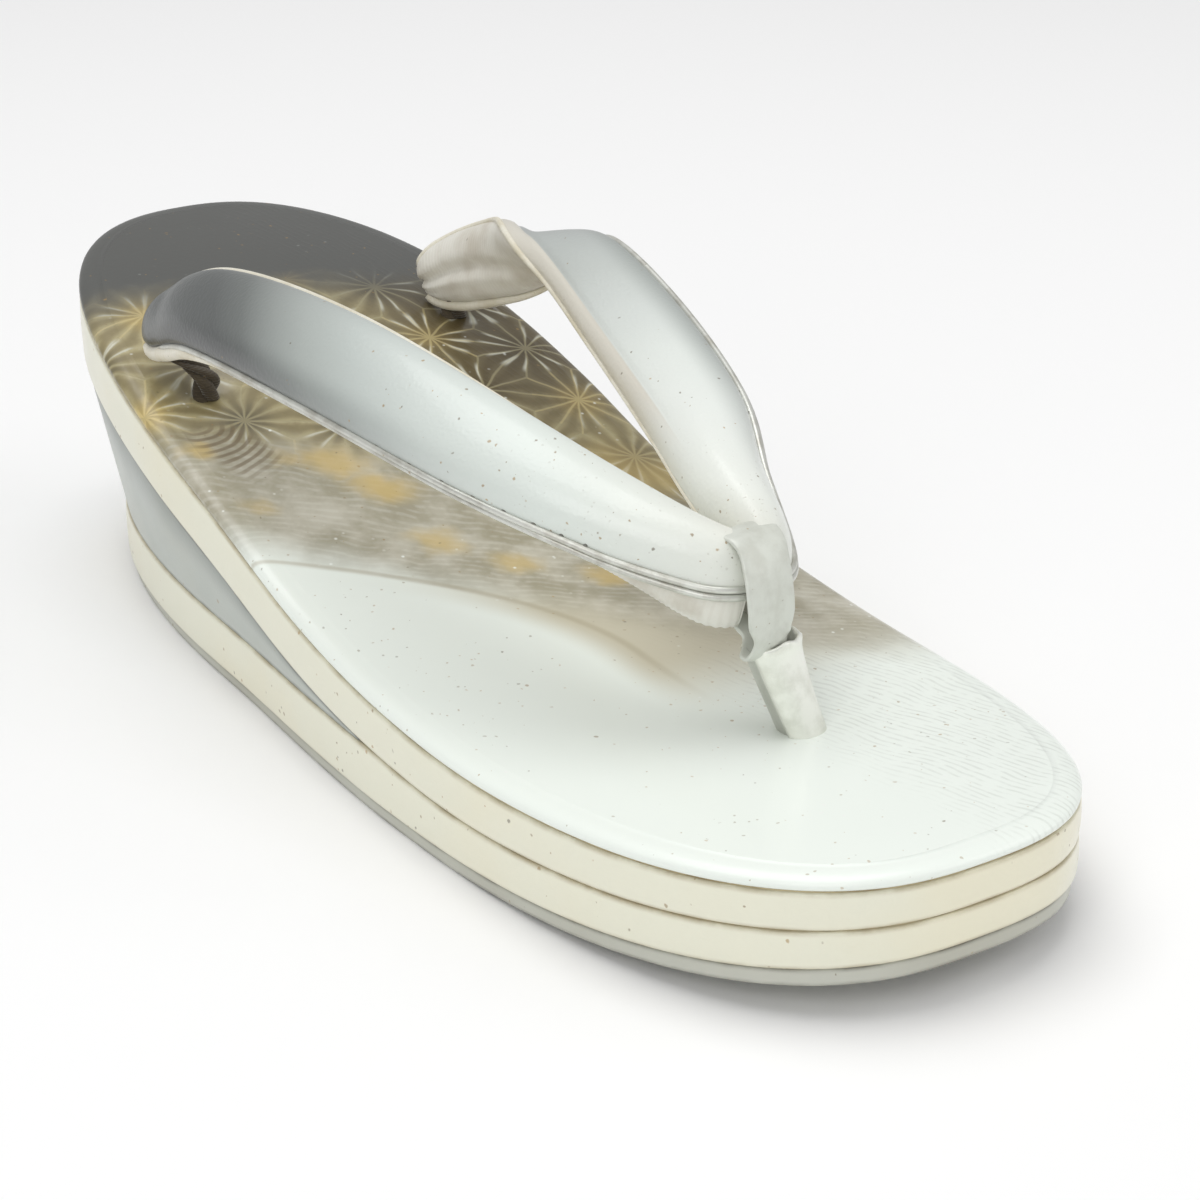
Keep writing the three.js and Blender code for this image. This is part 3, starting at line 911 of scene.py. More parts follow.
        for per_metre, size, share, strength in ((360.0, 0.13, 0.16, 0.6), (700.0, 0.18, 0.34, 0.45)):
            ground = finish.marked(effects, ground, strength, per_metre, size, share)
        sparkle_cells = graph.cells(finish.place, 520.0)
        sparkle = graph.rest(graph.remap(sparkle_cells.outputs["Distance"], 0.05, 0.22))
        lit = graph.node("SeparateColor")
        graph.feed(lit.inputs[0], sparkle_cells.outputs["Color"])
        gate = graph.times(graph.remap(graph.noise(spot, 0.06, 2.0), 0.48, 0.66),
                          graph.math("LESS_THAN", lit.outputs[0], 0.3))
        gate = graph.times(gate, graph.remap(heel, 0.9, 0.2, 0.12, 1.0))
        finish.colour(graph.mix(graph.times(sparkle, gate), ground, srgb(240, 243, 238)))
        grain = graph.group(effects.grain, Vector=finish.place, Per_Metre=900.0, Waviness=0.8)
        finish.roughness(graph.times_plus(grain.outputs["Roughness"], 0.1, GLOSSIEST))
        raised = graph.times(rays, graph.times(stars, graph.rest(heel)))
        pores = graph.times(grain.outputs["Height"], 0.35)
        height = graph.plus(pores, graph.times_plus(raised, 0.5, ripples))
        finish.bump(height, 0.06)
        return finish.material


@dataclass(frozen=True)
class StrapFinish:
    """Pearly enamel that shades along the strap, by colours at shares of its length.

    The outer edge carries painted shade: outer over its last part, fading out between two places in
    millimetres along the strap. Inside inner_seam (a share of the half width) the lining laps over.
    """

    name: str
    length: float
    shades: tuple[tuple[float, int, int, int], ...]
    outer: Colour
    outer_shade_strength: float
    outer_shade_fade: tuple[float, float]
    inner_seam: float = 2.0
    lap: Colour = srgb(214, 210, 198)

    def make(self, effects: Effects) -> Material:
        """Builds the material.

        Args:
            effects: The shared shader groups.

        Returns:
            The material.
        """
        finish = Finish(self.name, 0.3, coat=0.2)
        graph = finish.graph
        along, across, _ = graph.split(finish.lay())
        # The across term lets the dark end of the colours reach further along the outer edge: painted shade
        # there.
        share = graph.math("DIVIDE", graph.times_plus(across, 7.0, along), self.length)
        ramp = graph.node("ValToRGB")
        for index, (position, *shade) in enumerate(self.shades):
            point = ramp.color_ramp.elements[index] if index < 2 else ramp.color_ramp.elements.new(position)
            point.position = position
            point.color = srgb(*shade)
        graph.feed(ramp.inputs[0], share)
        # Painted shade along the outer edge, fading out along the strap.
        start, end = self.outer_shade_fade
        painted_edge_shade = graph.times(graph.remap(across, -0.3, -0.98), graph.remap(
            along, end, start, 0.0, self.outer_shade_strength))
        base = graph.mix(painted_edge_shade, ramp.outputs[0], self.outer)
        lap = graph.remap(across, self.inner_seam - 0.02, self.inner_seam + 0.02)
        base = graph.mix(graph.times(lap, graph.remap(along, 125.0, 95.0)), base, self.lap)
        near_toe = graph.remap(share, 0.4, 0.85, 0.04, 0.5)
        shade = finish.marked(effects, base, 0.7, 760.0, 0.2, near_toe)
        dots = graph.group(effects.specks, Vector=finish.place, Per_Metre=1500.0, Size=0.3, Share=graph.remap(
            share, 0.6, 0.9, 0.0, 0.5))
        finish.colour(graph.mix(graph.times(dots.outputs["Mask"], 0.2), shade, srgb(150, 142, 124)))
        finish.grained(effects, 0.6, 0.12, GLOSSIEST, 0.045)
        return finish.material


@dataclass(frozen=True)
class ClothFinish:
    """Matt cloth or leather with a fine thread across it."""

    name: str
    main: Colour
    worn: Colour
    threads: float
    roughness: float = 0.8
    relief: float = 0.04

    def make(self, effects: Effects) -> Material:
        """Builds the material.

        Args:
            effects: The shared shader groups.

        Returns:
            The material.
        """
        finish = Finish(self.name, self.roughness)
        finish.shader.inputs["Sheen Weight"].default_value = 0.25
        graph = finish.graph
        along, _, _ = graph.split(finish.lay())
        patch = graph.remap(graph.noise(finish.place, 140.0, 4.0), 0.35, 0.7)
        shade = finish.marked(effects, graph.mix(patch, self.main, self.worn), 0.7, 600.0, 0.16, 0.05)
        thread = graph.math("SINE", graph.times(along, self.threads))
        finish.colour(graph.mix(graph.remap(thread, 0.1, -1.0, 0.0, 0.15), shade, self.worn))
        finish.bump(graph.plus(thread, graph.noise(finish.place, 900.0, 3.0)), self.relief)
        return finish.material


@dataclass(frozen=True)
class SilverFinish:
    """Soft silvered leather, creased and rubbed, with painted shade over one side of a tube around a given
    turn.
    """

    name: str
    main: Colour
    rubbed: Colour
    metallic: float
    roughness: float
    painted_shade_turn: float = 0.0
    painted_shade_reach: float = 0.0

    def make(self, effects: Effects) -> Material:
        """Builds the material.

        Args:
            effects: The shared shader groups.

        Returns:
            The material.
        """
        finish = Finish(self.name, self.roughness, metallic=self.metallic)
        graph = finish.graph
        rubbed = graph.remap(graph.noise(finish.place, 220.0, 5.0, 0.6), 0.4, 0.7)
        shade = graph.mix(rubbed, self.main, self.rubbed)
        # Painted shade on the tube's side face around one turn of its section.
        if self.painted_shade_reach:
            _, turn, _ = graph.split(finish.lay())
            off = graph.math("ABSOLUTE", graph.minus(turn, self.painted_shade_turn))
            side = graph.remap(off, self.painted_shade_reach, self.painted_shade_reach * 0.7)
            shade = graph.mix(graph.times(side, 0.55), shade, srgb(142, 144, 136))
        finish.colour(finish.marked(effects, shade, 0.5, 700.0, 0.16, 0.15))
        finish.grained(effects, 0.8, 0.14, self.roughness, 0.035)
        return finish.material


# ---------------------------------------------------------------- the sole


@dataclass(frozen=True)
class Last:
    """The form that every layer follows, from named sizes; s is 0 at the toe tip and 1 at the heel."""

    length: float = 240.0
    ball_half_width: float = 42.9
    heel_half_width: float = 41.4
    toe_cap: float = 89.6
    heel_cap: float = 90.3
    toe_roundness: float = 2.67
    heel_roundness: float = 2.45
    seam_profile: tuple[float, ...] = (20.8, 18.0, 17.9, 23.5, 36.2, 47.9, 55.7)
    outsole: tuple[float, float] = (2.8, 2.0)
    upper_band: tuple[float, float] = (5.8, 11.4)
    lower_band: tuple[float, float] = (8.2, 9.5)
    heel_tuck: float = 6.4
    toe_spring: float = 6.6
    spring_reach: float = 0.355
    bed_edge: float = 2.24
    bed_crown: float = 1.5

    def share(self, y: Array) -> Array:
        """How far along the last y lies."""
        return np.clip((np.asarray(y, float) + self.length / 2) / self.length, 0, 1)

    def seam_height(self, y: Array) -> Array:
        """Height of the seam under the bed."""
        return smooth_through(self.seam_profile, self.share(y))

    def clearance(self, y: Array) -> Array:
        """How far the toe lifts off the ground."""
        return self.toe_spring * (np.maximum(0, self.spring_reach - self.share(y)) / self.spring_reach) ** 2

    def outsole_top(self, y: Array) -> Array:
        """Height of the outsole's upper face."""
        return self.clearance(y) + self.between(self.outsole, y)

    def between(self, ends: tuple[float, float], y: Array) -> Array:
        """A size that changes evenly from the toe to the heel."""
        return ends[0] + (ends[1] - ends[0]) * self.share(y)

    def upper_band_bottom(self, y: Array) -> Array:
        """Height of the seam under the top layer."""
        return self.seam_height(y) - self.between(self.upper_band, y)

    def lower_band_top(self, y: Array) -> Array:
        """Height of the seam over the lower layer."""
        full = self.outsole_top(y) + self.between(self.lower_band, y)
        return np.minimum(full, self.upper_band_bottom(y))

    def tuck(self, y: Array) -> Array:
        """How far the lower outline draws in under the heel."""
        wedge = self.upper_band_bottom(y) - self.lower_band_top(y)
        end = self.length / 2
        return self.heel_tuck * wedge / (self.upper_band_bottom(end) - self.lower_band_top(end))

    def half_width(self, y: Array) -> Array:
        """Half the outline's width at y."""
        from_toe = np.asarray(y, float) + self.length / 2
        from_heel = self.length - from_toe
        toe_part = np.clip(1 - from_toe / self.toe_cap, 0, 1)
        heel_part = np.clip(1 - from_heel / self.heel_cap, 0, 1)
        toe = self.ball_half_width * (1 - toe_part**self.toe_roundness) ** (1 / self.toe_roundness)
        heel = self.heel_half_width * (1 - heel_part**self.heel_roundness) ** (1 / self.heel_roundness)
        t = ease(from_toe, self.toe_cap, self.length - self.heel_cap)
        waist = self.ball_half_width + (self.heel_half_width - self.ball_half_width) * t
        return np.where(from_toe < self.toe_cap, toe, np.where(from_heel < self.heel_cap, heel, waist))

    def bed_top(self, x: Array, y: Array) -> Array:
        """Height of the bed's cushioned face."""
        across = np.minimum(1, np.abs(x) / np.maximum(self.half_width(y), 1))
        along = 2 * self.share(y) - 1
        crown = self.bed_crown * (1 - across**2) * (1 - along**8)
        return self.seam_height(y) + self.bed_edge + crown

    def stations(self, steps: int = 70, waist_steps: int = 26) -> Array:
        """Places along the length, closest where the outline turns fastest.

        Args:
            steps: Stations in each end cap.
            waist_steps: Stations between the caps.

        Returns:
            The stations' y, from just behind the toe tip to just before the heel end.
        """
        turn = np.cos(np.arange(1, steps + 1) / steps * math.pi / 2)
        toe = -self.length / 2 + self.toe_cap * (1 - turn ** (2 / self.toe_roundness))
        heel = self.length / 2 - self.heel_cap * (1 - turn ** (2 / self.heel_roundness))
        start = -self.length / 2 + self.toe_cap
        waist = np.linspace(start, self.length / 2 - self.heel_cap, waist_steps + 2)[1:-1]
        return np.sort(np.concatenate([toe, waist, heel]))

    def outline(self, rows: Array, inset: Curve) -> tuple[Array, Array]:
        """The right edge drawn in along its own normal.

        Args:
            rows: Stations along the length.
            inset: How far the edge is drawn in at y.

        Returns:
            The edge's x and y at each station.
        """
        step = 0.01
        ahead = np.minimum(rows + step, self.length / 2)
        behind = np.maximum(rows - step, -self.length / 2)
        rise = self.half_width(ahead) - self.half_width(behind)
        run = ahead - behind
        size = np.hypot(rise, run)
        by = inset(rows)
        return self.half_width(rows) - by * run / size, rows + by * rise / size


@dataclass(frozen=True)
class Rim:
    """One line round a layer's wall: how far it is drawn in, and its height at y."""

    inset: Curve
    height: Curve


def band_rims(
    low: Curve,
    high: Curve,
    low_inset: Curve,
    high_inset: Curve,
    gap: float = 0.07,
    roundness: float = 0.55,
    swell: float = 0.12,
) -> list[Rim]:
    """The wall of a wrapped layer: rounded at both edges and a little full between them.

    Args:
        low: Height of the seam below at y.
        high: Height of the seam above at y.
        low_inset: How far the wall's foot is drawn in.
        high_inset: How far the wall's head is drawn in.
        gap: Half the gap at each seam.
        roundness: Radius of the rounded edges.
        swell: How far the wall's middle stands out.

    Returns:
        The rims, from the bottom up.
    """
    rims: list[Rim] = []
    turns = np.radians([0, 25, 50, 72, 90])
    parts = [(1 - math.sin(t), 1 - math.cos(t)) for t in turns]

    def at(share: float, edge: float, pull: float) -> Rim:
        """A rim at a share of the wall's height, moved by the rounded edge."""

        def inset(y: Array) -> Array:
            """How far this rim is drawn in."""
            bulge = swell * math.sin(math.pi * min(max(share, 0.0), 1.0))
            return low_inset(y) + (high_inset(y) - low_inset(y)) * share + pull - bulge

        def height(y: Array) -> Array:
            """This rim's height."""
            return low(y) + gap + (high(y) - low(y) - 2 * gap) * share + edge

        return Rim(inset, height)

    for pull, rise in parts:
        rims.append(at(0.0, roundness * rise, roundness * pull))
    for share in (0.2, 0.4, 0.6, 0.8):
        rims.append(at(share, roundness * (1 - 2 * share), 0.0))
    for pull, rise in reversed(parts):
        rims.append(at(1.0, -roundness * rise, roundness * pull))
    return rims


def build_layer(
    name: str,
    last: Last,
    rims: Sequence[Rim],
    front: float | None = None,
    top: Surface | None = None,
    columns: int = 0,
) -> Piece:
    """A closed layer of the sole.

    Args:
        name: The piece's name.
        last: The form that it follows.
        rims: The lines round its wall, from the bottom up.
        front: Where the layer is cut square across, if it doesn't reach the toe.
        top: Height of the upper face over x and y, if it isn't flat across.
        columns: Lines of points along the upper face.

    Returns:
        The piece. Its "lay" holds the length along the edge, the share of the height and the
        distance from the nearest edge seam.
    """
    rows = last.stations()
    if front is not None:
        rows = np.concatenate([[front], rows[rows > front + 0.5]])
    count = len(rows)
    end = last.length / 2
    points: list[Array] = []
    lay: list[Array] = []
    loops: list[list[int]] = []
    total = 0
    for rim in rims:
        x, y = last.outline(rows, rim.inset)
        if front is not None:
            y[0] = front
        heel_y = end - float(rim.inset(np.array(end)))
        toe_y = -end + float(rim.inset(np.array(-end)))
        tips = [[0.0, heel_y]] if front is not None else [[0.0, toe_y], [0.0, heel_y]]
        flat = np.concatenate([np.stack([x, y], 1), np.stack([-x, y], 1), np.array(tips)])
        z = rim.height(flat[:, 1])
        points.append(np.column_stack([flat, z]))
        base = rims[0].height(flat[:, 1])
        crest = rims[-1].height(flat[:, 1])
        part = (z - base) / np.maximum(crest - base, 0.1)
        seam = np.minimum(z - base, crest - z)
        if top is not None:
            seam = z - base
        lay.append(np.column_stack([flat[:, 1] - end, part, seam]))
        right = list(range(total, total + count))
        left = list(range(total + count, total + 2 * count))
        toe = [] if front is not None else [total + 2 * count]
        heel = total + 2 * count + len(tips) - 1
        loops.append([*toe, *right, heel, *reversed(left)])
        total += len(flat)
    faces: list[tuple[int, ...]] = []
    for low, high in zip(loops, loops[1:]):
        for i in range(len(low)):
            j = (i + 1) % len(low)
            faces.append((low[i], low[j], high[j], high[i]))

    def strips(loop: list[int], surface: Surface | None) -> None:
        """Closes one face of the layer with strips from edge to edge.

        Args:
            loop: The points round the face's edge.
            surface: The face's height over x and y, or None for a face that is flat across.
        """
        nonlocal total
        start = 0 if front is not None else 1
        right = loop[start : start + count]
        left = list(reversed(loop[start + count + 1 :]))
        lines = [[a, b] for a, b in zip(left, right)]
        if surface is not None:
            ring = np.concatenate(points)
            spread = np.sin(np.linspace(-math.pi / 2, math.pi / 2, columns + 2))[1:-1]
            made: list[Array] = []
            for line in lines:
                edge = ring[line[1]]
                across = spread * edge[0]
                level_y = np.full(columns, edge[1])
                made.append(np.column_stack([across, level_y, surface(across, level_y)]))
                line[1:1] = list(range(total, total + columns))
                total += columns
            block = np.concatenate(made)
            points.append(block)
            away = np.full(len(block), FAR_FROM_SEAM)
            lay.append(np.column_stack([block[:, 1], np.ones(len(block)), away]))
        for one, two in zip(lines, lines[1:]):
            for j in range(len(one) - 1):
                faces.append((one[j], one[j + 1], two[j + 1], two[j]))
        for j in range(len(lines[0]) - 1):
            if front is None:
                faces.append((loop[0], lines[0][j + 1], lines[0][j]))
            faces.append((lines[-1][j], lines[-1][j + 1], loop[start + count]))

    strips(loops[0], None)
    strips(loops[-1], top)
    return add_mesh(name, np.concatenate(points), faces, np.concatenate(lay))


@dataclass
class StackedSole:
    """The wrapped layers between the bed and the ground."""

    last: Last
    cream: Material
    grey: Material
    leather: Material
    glue: Material
    outsole_inset: float = 0.7
    sole_drop: float = 0.15
    glue_half_height: float = 0.15
    glue_inset: tuple[float, float] = (0.55, 0.45)
    wedge_glue_start: float = 6.0
    wedge_inset: tuple[float, float] = (0.25, 0.35)
    thinnest_wedge: float = 0.5

    def flush(self, y: Array) -> Array:
        """No drawing in."""
        return np.zeros_like(np.asarray(y, float))

    def wedge_start(self) -> float:
        """Where the middle wedge becomes thick enough to be cut."""
        y = np.linspace(-self.last.length / 2, self.last.length / 2, 4001)
        thick = self.last.upper_band_bottom(y) - self.last.lower_band_top(y)
        return float(y[np.argmax(thick > self.thinnest_wedge)])

    def seam_line(
        self, name: str, height: Curve, inset: Curve, front: float | None = None
    ) -> Piece:
        """The dark line of glue set back in a seam.

        Args:
            name: The piece's name.
            height: The seam's height at y.
            inset: The outline's inset at the seam.
            front: Where the line starts, if it doesn't run round the toe.

        Returns:
            The piece.
        """
        edge, middle = self.glue_inset
        rims = [
            Rim(lambda y: inset(y) + edge, lambda y: height(y) - self.glue_half_height),
            Rim(lambda y: inset(y) + middle, height),
            Rim(lambda y: inset(y) + edge, lambda y: height(y) + self.glue_half_height),
        ]
        piece = build_layer(name, self.last, rims, front)
        return dress(piece, self.glue, Slot.SOLE)

    def build(self) -> None:
        """Makes the four layers and the lines between them."""
        last = self.last
        upper_rims = band_rims(last.upper_band_bottom, last.seam_height, self.flush, self.flush)
        upper = build_layer("top_layer_wrap", last, upper_rims)
        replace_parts(dress(upper, self.cream, Slot.CREAM), "top_layer")
        lower_rims = band_rims(last.outsole_top, last.lower_band_top, last.tuck, last.tuck)
        lower = build_layer("lower_layer_wrap", last, lower_rims)
        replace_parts(dress(lower, self.cream, Slot.CREAM), "lower_layer")
        start = self.wedge_start()

        def wedge_foot(y: Array) -> Array:
            """The wedge's foot sits a hair behind the lower layer's edge."""
            return last.tuck(y) + self.wedge_inset[0]

        def wedge_head(y: Array) -> Array:
            """The wedge's head sits a hair behind the top layer's edge."""
            return self.flush(y) + self.wedge_inset[1]

        wedge_rims = band_rims(
            last.lower_band_top, last.upper_band_bottom, wedge_foot, wedge_head, roundness=0.1, swell=0.0
        )
        wedge = build_layer("middle_wedge_wrap", last, wedge_rims, front=start)
        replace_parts(dress(wedge, self.grey, Slot.GREY), "middle_wedge")

        def sole_inset(y: Array) -> Array:
            """The outsole lies inside the lower layer's edge."""
            return last.tuck(y) + self.outsole_inset

        def sole_foot(y: Array) -> Array:
            """The outsole's lower edge; its rounding brings it back up to the ground."""
            return last.clearance(y) - self.sole_drop

        sole_rims = band_rims(sole_foot, last.outsole_top, sole_inset, sole_inset, roundness=0.45, swell=0.0)
        sole = build_layer("outsole_leather", last, sole_rims)
        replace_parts(dress(sole, self.leather, Slot.SOLE), "outsole")
        self.seam_line("seam_under_bed", last.seam_height, self.flush)
        self.seam_line("seam_under_top_layer", last.upper_band_bottom, self.flush)
        glue_start = start + self.wedge_glue_start
        self.seam_line("seam_over_lower_layer", last.lower_band_top, last.tuck, glue_start)
        self.seam_line("seam_over_outsole", last.outsole_top, sole_inset)


@dataclass
class Bed:
    """The cushioned, enamelled board under the foot, with its rolled edge and lacing holes."""

    last: Last
    enamel: Material
    holes: tuple[tuple[float, float, float, float], ...] = (
        (-27.5, 56.0, 5.0, 1.6),
        (28.0, 64.0, 5.5, 1.4),
        (4.4, -72.1, 7.5, 0.4),
    )
    columns: int = 58

    def top(self, x: Array, y: Array) -> Array:
        """The cushion's height, drawn down round each lacing hole."""
        z = self.last.bed_top(x, y)
        for hole_x, hole_y, reach, depth in self.holes:
            z = z - depth * np.exp(-(((x - hole_x) ** 2 + (y - hole_y) ** 2) / reach**2))
        return z

    def build(self) -> Piece:
        """Makes the bed.

        Returns:
            The piece.
        """
        seam = self.last.seam_height
        profile = (
            (0.75, 0.12), (0.32, 0.24), (0.08, 0.45), (0.0, 0.75), (0.10, 1.12), (0.36, 1.46),
            (0.78, 1.76), (1.38, 2.04), (2.16, 2.26), (3.10, 2.42), (4.20, 2.51),
        )
        rims = [
            Rim(lambda y, by=inset: np.full_like(np.asarray(y, float), by), lambda y, up=rise: seam(y) + up)
            for inset, rise in profile
        ]
        piece = build_layer("bed_cushion", self.last, rims, top=self.top, columns=self.columns)
        dress(piece, self.enamel, Slot.BED)
        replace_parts(piece, "bed")
        return piece


# ---------------------------------------------------------------- the thong


@dataclass(frozen=True)
class StrapRow:
    """One section of a strap.

    cover and lining are how far each side stands off the plane of the seams; lean is the cover's
    turn in degrees from outward to upward.
    """

    x: float
    y: float
    z: float
    width: float
    cover: float
    lining: float
    lean: float


@dataclass(frozen=True)
class Crease:
    """A soft trough or ridge across a strap, in millimetres along it."""

    at: float
    width: float
    depth: float
    slant: float = 0.0


@dataclass(frozen=True)
class Fold:
    """A long soft trough or ridge that runs along a strap's back end.

    across is its place from -1 at the outer seam to 1 at the inner; reach is how far it runs.
    """

    across: float
    width: float
    depth: float
    reach: float


@dataclass(frozen=True)
class StrapForm:
    """A strap's centre line and section directions, read at even steps."""

    centre: Array
    width: Array
    cover: Array
    lining: Array
    facing: Array
    across: Array
    along: Array

    @classmethod
    def read(cls, rows: Sequence[StrapRow], side: Side, steps: int) -> "StrapForm":
        """Reads a table of sections at even steps along it.

        Args:
            rows: The strap's sections from its back end to the toe joint.
            side: Which side the strap lies on.
            steps: How many readings to take.

        Returns:
            The strap's form.
        """
        t = np.linspace(0, 1, steps)

        def value(name: str, at: Array = t) -> Array:
            """One column of the table, read smoothly."""
            return smooth_through([getattr(row, name) for row in rows], at)

        def middle(at: Array) -> Array:
            """Points of the centre line."""
            return np.stack([value("x", at), value("y", at), value("z", at)], 1)

        centre = middle(t)
        heading = unit(middle(np.minimum(t + 0.01, 1)) - middle(np.maximum(t - 0.01, 0)))
        lean = np.radians(value("lean"))
        facing = np.stack([side.value * np.cos(lean), np.zeros_like(lean), np.sin(lean)], 1)
        facing = unit(facing - heading * np.sum(facing * heading, axis=1)[:, None])
        across = np.cross(heading, facing) * side.value
        along = run_length(centre)
        return cls(centre, value("width"), value("cover"), value("lining"), facing, across, along)

    def point(self, across: Array, depth: Array) -> Array:
        """Points off the centre line, in millimetres across and outward."""
        return self.centre + across[:, None] * self.across + depth[:, None] * self.facing


@dataclass
class Strap:
    """One padded strap: enamel cover, ribbed lining, two piping cords, an edge fold and stitches."""

    side: Side
    rows: tuple[StrapRow, ...]
    creases: tuple[Crease, ...]
    folds: tuple[Fold, ...]
    edge_radius: float
    steps: int = 220
    cover_sides: int = 46
    rib_pitch: float = 0.85
    rib_height: float = 0.09
    rib_start: float = 60.0
    piping_radius: float = 0.58
    piping_start: float = 6.0
    roll_radius: float = 1.4
    roll_length: float = 50.0
    nose_share: float = 0.35
    nose_length: float = 4.5
    stitch_pitch: float = 4.0
    stitch_steps: int = 16
    stitch_angle: float = math.pi * 0.957
    stitch_start: float = 40.0
    stitch_end: float = 104.0
    inner_seam: float = 2.0
    inner_seam_depth: float = 0.4
    lining_drop: float = 0.1

    @property
    def label(self) -> str:
        """The strap's name."""
        return self.side.name.lower()

    def end_round(self, form: StrapForm) -> Array:
        """Draws the back end to a rounded nose."""
        t = np.clip(form.along / self.nose_length, 0, 1)
        return self.nose_share + (1 - self.nose_share) * np.sqrt(np.clip(1 - (1 - t) ** 2, 0, 1))

    def skin(
        self,
        part: str,
        form: StrapForm,
        half: Array,
        sides: tuple[int, int],
        flat: float,
        depth: Callable[[float, Array, Array], Array],
    ) -> Piece:
        """A closed skin over one face of the strap.

        Args:
            part: What the skin is, for its name.
            form: The strap's readings.
            half: Half its width at each reading.
            sides: Lines of points on the face and on the flat back behind it.
            flat: How far the flat back lies off the seams.
            depth: The face's depth for an angle, a place across and the end's rounding.

        Returns:
            The piece. Its "lay" holds the length along, the share across and the depth.
        """
        nose = self.end_round(form)
        face_turn = np.linspace(0, math.pi, sides[0])
        back_turn = np.linspace(math.pi, 0, sides[1])[1:-1]
        lines: list[Array] = []
        lay: list[Array] = []
        for k, angle in enumerate([*face_turn, *back_turn]):
            across = np.cos(angle) * half * nose
            off = depth(angle, across, nose) if k < sides[0] else np.full_like(across, flat)
            lines.append(form.point(across, off))
            lay.append(np.column_stack([form.along, np.full_like(across, math.cos(angle)), off]))
        return add_skins(f"{self.label}_strap_{part}", [np.stack(lines, 1)], np.stack(lay, 1).reshape(-1, 3))

    def cover(self, material: Material) -> Piece:
        """The padded enamel cover.

        Args:
            material: Its finish.

        Returns:
            The piece.
        """
        form = StrapForm.read(self.rows, self.side, self.steps)

        def depth(angle: float, across: Array, nose: Array) -> Array:
            """How far the cover stands off the seams, less its creases."""
            fullness = math.sin(angle) ** COVER_FULLNESS
            dip = np.zeros_like(across)
            for crease in self.creases:
                place = form.along - crease.at - crease.slant * across
                dip += crease.depth * np.exp(-((place / crease.width) ** 2))
            groove = math.exp(-(((math.cos(angle) - self.inner_seam) / 0.07) ** 2))
            dip += self.inner_seam_depth * groove * (1 - ease(form.along, 95.0, 125.0))
            return fullness * form.cover * nose - dip * fullness

        piece = self.skin("cover", form, form.width / 2, (self.cover_sides, 9), 0.05, depth)
        dress(piece, material, Slot.STRAP)
        return piece

    def lining(self, material: Material) -> Piece:
        """The ribbed lining under the cover.

        Args:
            material: Its finish.

        Returns:
            The piece.
        """
        length = StrapForm.read(self.rows, self.side, 50).along[-1]
        steps = int(length / self.rib_pitch * 6)
        form = StrapForm.read(self.rows, self.side, steps)
        ribs = self.rib_height * np.cos(2 * np.pi * form.along / self.rib_pitch)
        ribs *= ease(form.along, self.rib_start, self.rib_start + 30)

        def depth(angle: float, across: Array, nose: Array) -> Array:
            """How far the lining hangs off the seams, with its folds and ribs."""
            fullness = math.sin(angle) ** 0.9
            dip = np.zeros_like(across)
            for fold in self.folds:
                hump = math.exp(-(((math.cos(angle) - fold.across) / fold.width) ** 2))
                dip += fold.depth * hump * np.exp(-((form.along / fold.reach) ** 2))
            return -fullness * form.lining * nose - self.lining_drop + (dip + ribs) * fullness

        half = form.width / 2 - self.lining_drop
        return dress(self.skin("lining", form, half, (25, 5), -self.lining_drop, depth), material, Slot.STRAP)

    def cords(self, silver: Material, edge: Material) -> None:
        """The two piping cords along the outer seam, the fold along the inner one and the lining's roll.

        Args:
            silver: The piping's finish.
            edge: The fold's and the roll's finish.
        """
        form = StrapForm.read(self.rows, self.side, self.steps)
        nose = self.end_round(form)
        outer = -form.width / 2 * nose
        start = int(np.argmax(form.along > self.piping_start))
        for name, out, up in (("piping_upper", 0.25, 0.52), ("piping_lower", 0.45, -0.62)):
            path = form.point(outer - out, np.full_like(outer, up))[start:]
            taper = self.piping_radius * np.clip(0.25 + (form.along[start:] - self.piping_start) / 7, 0, 1)
            dress(tube_along(f"{self.label}_strap_{name}", path, taper), silver, Slot.SILVER)
        path = form.point(form.width / 2 * nose, np.full_like(outer, -0.1))
        fold_radius = self.edge_radius * (1 - 0.45 * ease(form.along, 20, 130))
        fold = tube_along(f"{self.label}_strap_edge_fold", path, fold_radius)
        dress(fold, edge, Slot.STRAP)
        stop = int(np.argmax(form.along > self.roll_length))
        size = 0.3 + (self.roll_radius - 0.3) * (1 - ease(form.along[:stop], 6.0, self.roll_length))
        sunk = np.pad(size, (0, self.steps - stop), "edge")
        path = form.point(outer - 0.75 * sunk, -0.35 * sunk)[:stop]
        roll = tube_along(f"{self.label}_strap_lining_roll", path, size, sides=14)
        dress(roll, edge, Slot.STRAP)

